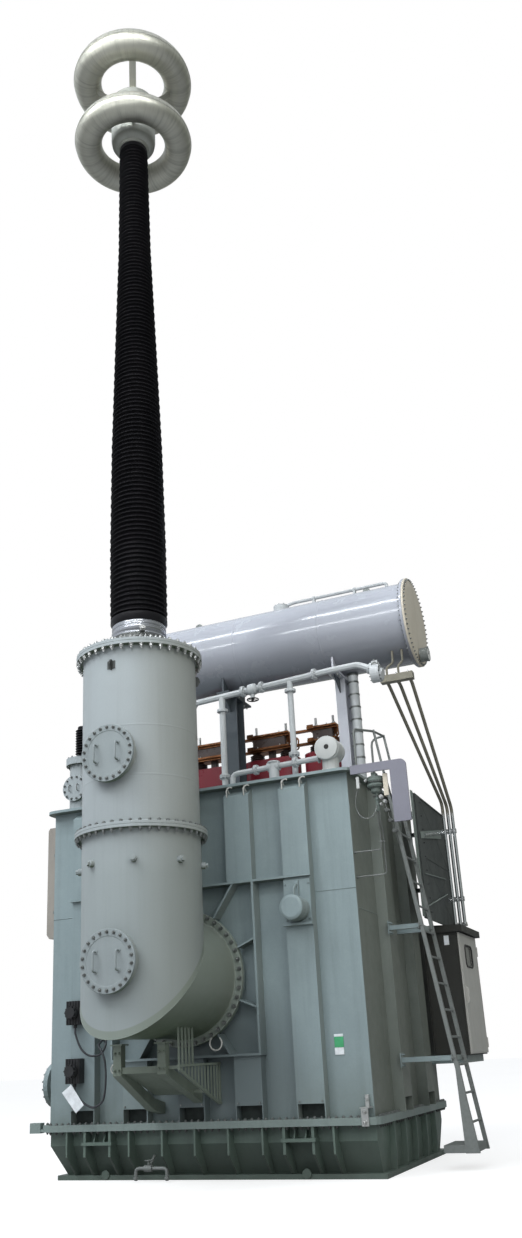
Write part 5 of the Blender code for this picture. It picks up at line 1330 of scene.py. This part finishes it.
# Pipe over the cover: flanges.
m = Mesh()
pipe_flange(m, (0.80, -1.20, 5.381), (1, 0, 0.03), 0.042, 0.074)
pipe_flange(m, (1.42, -1.20, 5.399), (1, 0, 0.03), 0.042, 0.074)
m.lathe([(0.0, 0.022), (0.068, 0.022), (0.072, 0.018), (0.072, 0.002), (0.0, 0.0)], at=(1.7655, -1.20, 5.410), axis=(1, 0, 0.02), seg=32)
m.lathe([(0.0, 0.024), (0.085, 0.024), (0.09, 0.020), (0.09, 0.002), (0.0, 0.0)], at=(1.08, -1.20, 5.4402), seg=32)
for i in range(8):
    a = math.tau * (i + 0.5) / 8
    m.nut((1.08 + 0.12 * math.cos(a), -1.20 + 0.12 * math.sin(a), 5.1005), (0, 0, 1), 0.024, 0.015, 0.01, turn=a)
m.done("cover_pipe_fittings", M["pipe"])

# ------------------------------------------------------------------ ladder
LY0, LY1 = -0.80, -0.20


def lx(z):
    return 2.664 + 0.147 * (4.765 - z)


m = Mesh()
z = 0.55
while z < 4.80:
    # serrated sleeves on the rungs, and a weld collar at each rail
    for k in range(11):
        y = LY0 + 0.05 + 0.05 * k
        m.rod((lx(z), y - 0.004, z), (lx(z), y + 0.004, z), 0.0158, 8)
    for y, s in ((LY0 + 0.026, 1), (LY1 - 0.026, -1)):
        m.rod((lx(z), y, z), (lx(z), y + s * 0.006, z), 0.021, 10)
    z += 0.34
for zb, half in ((3.00, 0.03), (1.315, 0.03)):
    end = lx(zb) - 0.035
    for y in (LY0, LY1):
        # U-bolt plates between bracket and rail
        m.box((end, y - 0.05, zb - 0.045), (end + 0.010, y + 0.05, zb + 0.045))
        for dy in (-0.038, 0.038):
            m.nut((end + 0.010, y + dy, zb), (1, 0, 0), 0.022, 0.014, 0.02)
m.done("ladder_fittings", M["galvanised"])
m = Mesh()
for zb in (3.00, 1.315):
    for y in (LY0, LY1):
        x0 = WALL_X + (0.151 if y == LY0 else 0.001)
        m.box((x0, y - 0.07, zb - 0.09), (x0 + 0.012, y + 0.07, zb + 0.09))
        for dy in (-0.05, 0.05):
            for dz in (-0.065, 0.065):
                m.nut((x0 + 0.012, y + dy, zb + dz), (1, 0, 0), 0.022, 0.014, 0.01)
m.done("ladder_wall_plates", M["tank"], bevel=0.002)

# ------------------------------------------------------------------ gauge portal
# The gauge that hangs under the portal: a round housing with a clamp band, a sensor pipe,
# and its small valves, bars and capillary.
GX, GY = 2.715, -1.685
m = Mesh()
m.lathe([(0.0, 4.885), (0.100, 4.885), (0.112, 4.878), (0.112, 4.842), (0.119, 4.838), (0.119, 4.822), (0.112, 4.818),
         (0.112, 4.782), (0.122, 4.776), (0.122, 4.756), (0.112, 4.750), (0.112, 4.742), (0.104, 4.735), (0.074, 4.731),
         (0.072, 4.680), (0.060, 4.665), (0.030, 4.655), (0.024, 4.640), (0.024, 4.600), (0.034, 4.596), (0.034, 4.570),
         (0.024, 4.566), (0.024, 4.470), (0.032, 4.466), (0.032, 4.436), (0.024, 4.420), (0.0, 4.420)],
        at=(GX, GY, 0), seg=40)
m.box((GX - 0.03, -1.79, 4.87), (GX + 0.03, -1.66, 4.9297))
m.done("gauge_body", M["gauge"], replaces=["gauge_box"])
m = Mesh()
for a in (20, 80, 140, 200, 260, 320):
    m.nut((GX + 0.105 * math.cos(math.radians(a)), GY + 0.105 * math.sin(math.radians(a)), 4.7345), (0, 0, -1), 0.020, 0.014, 0.008)
m.tube([(GX + 0.124 * math.cos(t), GY + 0.124 * math.sin(t), 4.800) for t in (math.tau * i / 40 for i in range(40))], 0.007, 8,
       closed=True)
# a slanted bar behind the leg, and the lever of a small valve
m.rod((2.86, -1.74, 4.925), (2.945, -1.70, 4.42), 0.010, 10)
m.rod((GX - 0.05, -1.70, 4.62), (GX + 0.05, -1.70, 4.62), 0.012, 10)
m.done("gauge_bars", M["dark_bolt"], bevel=0.001)
m = Mesh()
# knobs, small valves and a square bracket
for x, y, z, r in ((2.79, -1.73, 4.59, 0.030), (2.83, -1.70, 4.53, 0.026), (2.775, -1.70, 4.50, 0.020), (2.60, -1.74, 4.83, 0.022)):
    m.rod((x, y, z), (x, y - 0.05, z), r, 16, chamfer=0.004)
    m.rod((x, y - 0.045, z), (x, y - 0.068, z), r * 0.6, 6)
    m.rod((x, y, z), (x - 0.02, y + 0.04, z), r * 0.5, 10)
m.done("gauge_knobs", M["zinc"])
m = Mesh()
m.box((2.835, -1.765, 4.60), (2.90, -1.745, 4.90))
m.box((2.835, -1.745, 4.60), (2.845, -1.66, 4.90))
m.done("gauge_bracket", M["end"], bevel=0.002)
m = Mesh()
m.box((2.475, -1.80, 4.735), (2.515, -1.775, 4.895))
m.box((2.485, -1.775, 4.80), (2.505, -1.70, 4.83))
m.done("gauge_terminal", M["white"], bevel=0.003)
m = Mesh()
for x, z, y in ((2.700, 3.92, -1.640), (2.730, 3.60, -1.610)):
    m.tube(rounded_path([(x, GY, 4.425), (x, GY, 4.26), (x, y, 4.16), (x, y, z), (2.326, y, z)], 0.05), 0.009, 8)
    m.rod((2.322, y, z), (2.345, y, z), 0.022, 6)
    m.box((x - 0.02, y - 0.012, 4.02), (x + 0.02, y + 0.012, 4.035))
# stiff capillary, bent down in a bow from the terminal and up to the sensor pipe
m.tube(smooth_path([(2.49, -1.79, 4.74), (2.462, -1.82, 4.62), (2.455, -1.83, 4.48), (2.50, -1.83, 4.36), (2.575, -1.82, 4.315),
                    (2.66, -1.80, 4.34), (2.705, -1.75, 4.44), (2.712, -1.712, 4.50)], 5), 0.006, 8)
# three small line valves at the ladder's head
for x, y, z in ((2.62, -0.86, 4.60), (2.66, -0.86, 4.45), (2.70, -0.86, 4.30)):
    m.rod((x - 0.045, y, z), (x + 0.045, y, z), 0.020, 14, chamfer=0.004)
    m.rod((x, y, z), (x, y - 0.05, z), 0.013, 12)
    m.rod((x, y - 0.045, z), (x, y - 0.058, z), 0.030, 14, chamfer=0.003)
m.tube([(2.60, -0.855, 4.70), (2.62, -0.855, 4.60), (2.66, -0.855, 4.45), (2.70, -0.855, 4.30), (2.74, -0.845, 4.12)], 0.008, 8)
m.done("gauge_pipes", M["dull_zinc"])

# ------------------------------------------------------------------ cabinet
CX0, CX1, CY0, CY1, CZ0, CZ1 = 2.44, 2.96, 1.20, 2.50, 1.32, 3.09
m = Mesh()
# roof lip, drip edge and rivets
for y in (CY0 - 0.041, CY1 + 0.041):
    m.box((CX0 - 0.012, y - 0.004, CZ1 - 0.010), (3.047, y + 0.004, CZ1 + 0.084))
m.box((3.045, CY0 - 0.045, CZ1 - 0.010), (3.053, CY1 + 0.045, CZ1 + 0.086))
# a frame bead on the side that faces the camera
ys = CY0 - 0.0005
for (xa, za), (xb, zb) in (((CX0 + 0.02, CZ0 + 0.03), (CX0 + 0.02, CZ1 - 0.05)), ((CX1 - 0.02, CZ0 + 0.03), (CX1 - 0.02, CZ1 - 0.05)),
                           ((CX0 + 0.02, CZ0 + 0.03), (CX1 - 0.02, CZ0 + 0.03)), ((CX0 + 0.02, CZ1 - 0.05), (CX1 - 0.02, CZ1 - 0.05))):
    m.tube([(xa, ys, za), (xb, ys, zb)], 0.005, 6)
for i in range(7):
    z = CZ0 + 0.10 + i * 0.26
    for x in (CX0 + 0.035, CX1 - 0.035):
        m.lathe([(0.0, 0.005), (0.006, 0.004), (0.010, 0.0)], at=(x, CY0 - 0.0003, z), axis=(0, -1, 0), seg=14)
# gland plate under the floor with glands
m.box((2.50, 1.66, CZ0 - 0.012), (2.80, 2.30, CZ0 - 0.0003))
for i in range(5):
    for x in (2.58, 2.70):
        y = 1.74 + i * 0.12
        m.rod((x, y, CZ0 - 0.012), (x, y, CZ0 - 0.050), 0.024, 14, chamfer=0.004)
m.done("cabinet_trim", M["cabinet"])
m = Mesh()
m.box((2.760, CY0 - 0.004, 2.895), (2.835, CY0 - 0.0003, 3.035))
for z in (2.905, 3.025):
    for x in (2.768, 2.827):
        m.rod((x, CY0 - 0.003, z), (x, CY0 - 0.007, z), 0.005, 10)
m.done("cabinet_plate", M["tag"])
# inside: mounting plate, rails with small devices, and wiring ducts
m = Mesh()
m.box((2.462, 1.245, 1.37), (2.466, 2.455, 3.04))
for k, z in enumerate((2.80, 2.45, 2.10, 1.75)):
    m.box((2.4665, 1.30, z - 0.018), (2.4695, 2.40, z + 0.018))
m.done("cabinet_back", M["white"])
m = Mesh()
m2 = Mesh()
for k, z in enumerate((2.80, 2.45, 2.10, 1.75)):
    y = 1.33
    while y < 2.33:
        w = RND.choice((0.020, 0.036, 0.036, 0.055, 0.072))
        h = RND.choice((0.045, 0.045, 0.060))
        d = RND.choice((0.05, 0.06, 0.075))
        target = m if RND.random() < 0.5 else m2
        target.box((2.4697, y, z - h), (2.4697 + d, y + w - 0.003, z + h))
        target.box((2.4697 + d, y + w * 0.3, z - h * 0.3), (2.4697 + d + 0.010, y + w * 0.6, z + h * 0.35))
        y += w
    m2.box((2.4665, 1.28, z - 0.175), (2.52, 2.42, z - 0.125))
m.done("cabinet_devices_dark", M["gasket"], bevel=0.002)
m2.done("cabinet_devices_light", M["dial"], bevel=0.002)

# Door: gasket frame round the window, seam bead, swing handle with lock; all ride on the door.
m = Mesh()
xd = 2.990


def rounded_rect(y0, z0, y1, z1, r, x, steps=6):
    out = []
    for cy, cz, a0 in ((y1 - r, z1 - r, 0), (y0 + r, z1 - r, 90), (y0 + r, z0 + r, 180), (y1 - r, z0 + r, 270)):
        for i in range(steps + 1):
            a = math.radians(a0 + 90 * i / steps)
            out.append((x, cy + r * math.cos(a), cz + r * math.sin(a)))
    return out


m.tube(rounded_rect(1.525, 2.585, 2.025, 2.905, 0.075, xd + 0.002), 0.013, 8, closed=True)
m.tube(rounded_rect(1.528, 2.588, 2.022, 2.902, 0.072, 2.9645), 0.008, 8, closed=True)
m.done("window_gasket", M["gasket"], body="door")
m = Mesh()
for (ya, za), (yb, zb) in (((1.245, 1.365), (1.245, 3.045)), ((2.435, 1.365), (2.435, 3.045)), ((1.245, 1.365), (2.435, 1.365)),
                           ((1.245, 3.045), (2.435, 3.045))):
    m.tube([(xd + 0.0005, ya, za), (xd + 0.0005, yb, zb)], 0.0045, 6)
for z in (1.49, 2.86):
    m.lathe([(0.0, 0.15), (0.0105, 0.149), (0.0125, 0.145), (0.0125, 0.004), (0.0105, 0.0), (0.0, 0.0)], at=(2.990, 2.472, z - 0.075), seg=20)
m.done("door_trim", M["cabinet_door"], body="door")
m = Mesh()
m.box((xd - 0.0005, 1.275, 2.02), (xd + 0.010, 1.325, 2.30))
m.prism([(0, 0), (0.034, 0.02), (0.034, 0.20), (0.012, 0.23), (0, 0.23)],
        Matrix(((1, 0, 0, xd + 0.010), (0, 0, 1, 1.286), (0, 1, 0, 2.045), (0, 0, 0, 1))), 0.028)
m.rod((xd + 0.008, 1.30, 2.275), (xd + 0.022, 1.30, 2.275), 0.013, 20, chamfer=0.002)
m.done("door_handle", M["cabinet_door"], body="door", bevel=0.002)

# ------------------------------------------------------------------ side panel: pressed cross, edge flanges, bolts
m = Mesh()
PX, PY0, PY1, PZ0, PZ1 = 2.7755, 0.485, 2.075, 3.21, 5.045


def crease(m, a, b, width=0.020, high=0.006):
    a, b = Vector(a), Vector(b)
    d = (b - a).normalized()
    s = Vector((1, 0, 0)).cross(d) * width
    m.loft([[a - s, a + Vector((high, 0, 0)), a + s], [b - s, b + Vector((high, 0, 0)), b + s]])


zm = (PZ0 + PZ1) / 2
for za, zb in ((PZ0 + 0.03, zm - 0.01), (zm + 0.01, PZ1 - 0.03)):
    crease(m, (PX, PY0 + 0.02, za), (PX, PY1 - 0.02, zb))
    crease(m, (PX, PY0 + 0.02, zb), (PX, PY1 - 0.02, za))
m.box((PX - 0.002, PY0, zm - 0.012), (PX + 0.008, PY1, zm + 0.012))
m.box((PX - 0.002, PY0, PZ1 - 0.020), (PX + 0.012, PY1, PZ1))
m.box((PX - 0.002, PY1 - 0.020, PZ0), (PX + 0.012, PY1, PZ1))
m.box((2.757, 0.020, 3.215), (2.772, 0.1897, 5.046))
for i in range(9):
    z = PZ0 + 0.10 + i * 0.205
    m.nut((2.7855, 0.455, z), (1, 0, 0), 0.018, 0.012, 0.008)
m.done("side_panel_ridges", M["panel"])
# Pale bent edge and pale lines across the dark side panel: painted light on its lit edge and creases.
m = Mesh()
m.box((2.772, -0.050, 3.215), (2.785, 0.022, 5.046))
m.box((2.785, 0.010, 3.215), (2.796, 0.022, 5.046))
m.prism([(0.27, 4.372), (1.665, 4.590), (1.665, 4.735), (0.27, 4.472)], Matrix(((0, 0, 1, 2.7905), (1, 0, 0, 0), (0, 1, 0, 0), (0, 0, 0, 1))), 0.010)
m.rod((2.797, 0.30, 3.386), (2.797, 1.66, 3.705), 0.010, 10)
m.rod((2.797, 0.30, 3.854), (2.797, 1.66, 3.943), 0.008, 10)
m.done("panel_lit_edges", M["lit_strip"], bevel=0.001)

# Tubes: clamp halves with bolts, and glands where they enter the cabinet's roof.
m = Mesh()
for z, dx in ((3.62, 0.0), (4.70, 0.0)):
    for xb in (2.865, 2.94, 3.01):
        m.lathe([(0.0275, -0.03), (0.037, -0.028), (0.037, 0.028), (0.0275, 0.03)], at=(xb, 1.70, z), seg=24)
    for x in (2.825, 2.90, 2.978, 3.035):
        m.nut((x, 1.6678, z), (0, -1, 0), 0.020, 0.013, 0.010)
for xb in (2.865, 2.94, 3.01):
    m.rod((xb, 1.70, 3.2005), (xb, 1.70, 3.235), 0.042, 6)
    m.rod((xb, 1.70, 3.234), (xb, 1.70, 3.262), 0.036, 20, chamfer=0.004)
for x in (2.66, 2.84, 3.02):
    m.nut((x, -0.41, 6.7452), (0, 0, 1), 0.030, 0.020, 0.015)
    m.rod((x, -0.352, 6.685), (x, -0.335, 6.685), 0.036, 6)
m.done("tube_clamps", M["bright"])

# ------------------------------------------------------------------ left end and bottom
m = Mesh()
for i in range(16):
    a = math.tau * (i + 0.5) / 16
    m.nut((-2.5203, -1.30 + 0.262 * math.cos(a), 1.20 + 0.262 * math.sin(a)), (-1, 0, 0), 0.034, 0.022, 0.016, turn=a)
for z in (3.60, 4.45):
    m.box((-2.46, -1.515, z - 0.02), (-2.3205, -1.499, z + 0.02))
m.done("left_end_bolts", M["dull_zinc"])
m = Mesh()
m.lathe([(0.0, 0.0), (0.036, 0.0), (0.042, 0.010), (0.042, 0.050), (0.036, 0.060), (0.0, 0.062)], at=(-0.746, -1.86, 0.165), axis=(1, 0, 0), seg=24)
m.rod((-0.715, -1.86, 0.20), (-0.715, -1.86, 0.255), 0.012, 12)
wheel = Vector((-0.715, -1.86, 0.258))
m.tube([wheel + 0.045 * Vector((math.cos(a), math.sin(a), 0)) for a in (math.tau * i / 24 for i in range(24))], 0.006, 8, closed=True)
for k in range(3):
    a = math.tau * k / 3
    m.rod(wheel, wheel + 0.045 * Vector((math.cos(a), math.sin(a), 0)), 0.005, 8)
for x in (-0.90, -0.45):
    m.lathe([(0.0235, 0.0), (0.034, 0.002), (0.034, 0.022), (0.0235, 0.024)], at=(x, -1.86, 0.04), seg=20)
m.done("drain_valve", M["galvanised"])
# Round bosses on the jacking pads.
m = Mesh()
for x in (-1.50, 1.36):
    for side in (-1, 1):
        m.lathe([(0.0, 0.020), (0.055, 0.020), (0.060, 0.015), (0.060, 0.0)], at=(x, side * 1.600, 0.062),
                axis=(0, side, 0), seg=28)
m.done("pad_bosses", M["lower"])

# ------------------------------------------------------------------ floor, light, world
floor_tree = Tree("floor_look")
floor_tree.color(floor_tree.mix(floor_tree.ramp(floor_tree.noise(0.15, 3, 0.5), [(0.3, 0.0), (0.7, 1.0)]),
                                (0.36, 0.36, 0.36), (0.33, 0.33, 0.33)))
floor_tree.set(Roughness=0.9, Specular_IOR_Level=0.1)
# The paper-white floor shows its shadows only faintly, and throws little light back up.
pale = floor_tree.nodes.new("ShaderNodeEmission")
pale.inputs["Color"].default_value = (1.0, 1.0, 1.0, 1.0)
pale.inputs["Strength"].default_value = 0.72
both = floor_tree.nodes.new("ShaderNodeAddShader")
seen_by = floor_tree.nodes.new("ShaderNodeLightPath")
pick = floor_tree.nodes.new("ShaderNodeMixShader")
end = floor_tree.nodes["Material Output"]
floor_tree.link(floor_tree.shader.outputs["BSDF"], both.inputs[0])
floor_tree.link(pale.outputs["Emission"], both.inputs[1])
floor_tree.link(seen_by.outputs["Is Camera Ray"], pick.inputs["Fac"])
floor_tree.link(floor_tree.shader.outputs["BSDF"], pick.inputs[1])
floor_tree.link(both.outputs["Shader"], pick.inputs[2])
floor_tree.link(pick.outputs["Shader"], end.inputs["Surface"])
mesh = bpy.data.meshes.new("floor")
bm = bmesh.new()
bmesh.ops.create_grid(bm, x_segments=4, y_segments=4, size=110)
bm.to_mesh(mesh)
bm.free()
floor = bpy.data.objects.new("floor", mesh)
floor.location = (0, 0, -0.001)
mesh.materials.append(floor_tree.material)
bpy.context.scene.collection.objects.link(floor)


def area(name, place, target, size, size_y, power, color=(1, 1, 1)):
    data = bpy.data.lights.new(name, "AREA")
    data.shape = "RECTANGLE"
    data.size, data.size_y = size, size_y
    data.energy = power
    data.color = color
    obj = bpy.data.objects.new(name, data)
    obj.matrix_world = (Matrix.Translation(place)
                        @ (Vector(place) - Vector(target)).to_track_quat("Z", "Y").to_matrix().to_4x4())
    bpy.context.scene.collection.objects.link(obj)
    return obj


key = area("key", (-10.0, -15.0, 21.0), (0, -1, 6), 9, 9, 2900, (0.94, 0.98, 1.0))
key.visible_glossy = False
front = area("front", (2.0, -24.0, 12.0), (0, 0, 6), 10, 8, 800, (0.94, 0.98, 1.0))
front.visible_glossy = False
side = area("side", (14.0, -13.0, 10.0), (0, -1, 5), 7, 9, 700, (1.0, 1.0, 0.93))
side.visible_glossy = False
area("strip_high", (1.0, -8.5, 19.0), (1.0, 0, 7.5), 16, 0.8, 820, (0.95, 0.98, 1.0))
area("strip_low", (1.0, -15.0, 13.5), (1.0, 0, 7.5), 18, 0.5, 520, (0.95, 0.98, 1.0))

world = bpy.data.worlds.new("world")
bpy.context.scene.world = world
world.use_nodes = True
wn, wl = world.node_tree.nodes, world.node_tree.links
wn.clear()
out = wn.new("ShaderNodeOutputWorld")
seen = wn.new("ShaderNodeBackground")
seen.inputs["Color"].default_value = (1, 1, 1, 1)
seen.inputs["Strength"].default_value = 1.0
light = wn.new("ShaderNodeBackground")
light.inputs["Strength"].default_value = 1.0
coord = wn.new("ShaderNodeTexCoord")
lean = wn.new("ShaderNodeVectorMath")
lean.operation = "DOT_PRODUCT"
lean.inputs[1].default_value = (-0.38, -0.25, 0.89)
spread = wn.new("ShaderNodeMapRange")
spread.inputs["From Min"].default_value = -1.0
spread.inputs["From Max"].default_value = 1.0
ramp = wn.new("ShaderNodeValToRGB")
ramp.color_ramp.elements[0].position = 0.0
ramp.color_ramp.elements[0].color = (0.07, 0.08, 0.065, 1)
ramp.color_ramp.elements[1].position = 1.0
ramp.color_ramp.elements[1].color = (0.86, 0.92, 1.0, 1)
for place, tone in ((0.42, (0.20, 0.215, 0.195, 1)), (0.60, (0.44, 0.465, 0.47, 1)), (0.80, (0.66, 0.70, 0.75, 1))):
    ramp.color_ramp.elements.new(place).color = tone
wl.new(coord.outputs["Generated"], lean.inputs[0])
wl.new(lean.outputs["Value"], spread.inputs["Value"])
wl.new(spread.outputs["Result"], ramp.inputs["Fac"])
wl.new(ramp.outputs["Color"], light.inputs["Color"])
path = wn.new("ShaderNodeLightPath")
mixed = wn.new("ShaderNodeMixShader")
wl.new(path.outputs["Is Camera Ray"], mixed.inputs["Fac"])
wl.new(light.outputs["Background"], mixed.inputs[1])
wl.new(seen.outputs["Background"], mixed.inputs[2])
wl.new(mixed.outputs["Shader"], out.inputs["Surface"])
bpy.context.scene.view_settings.view_transform = "Standard"
bpy.context.scene.view_settings.look = "None"
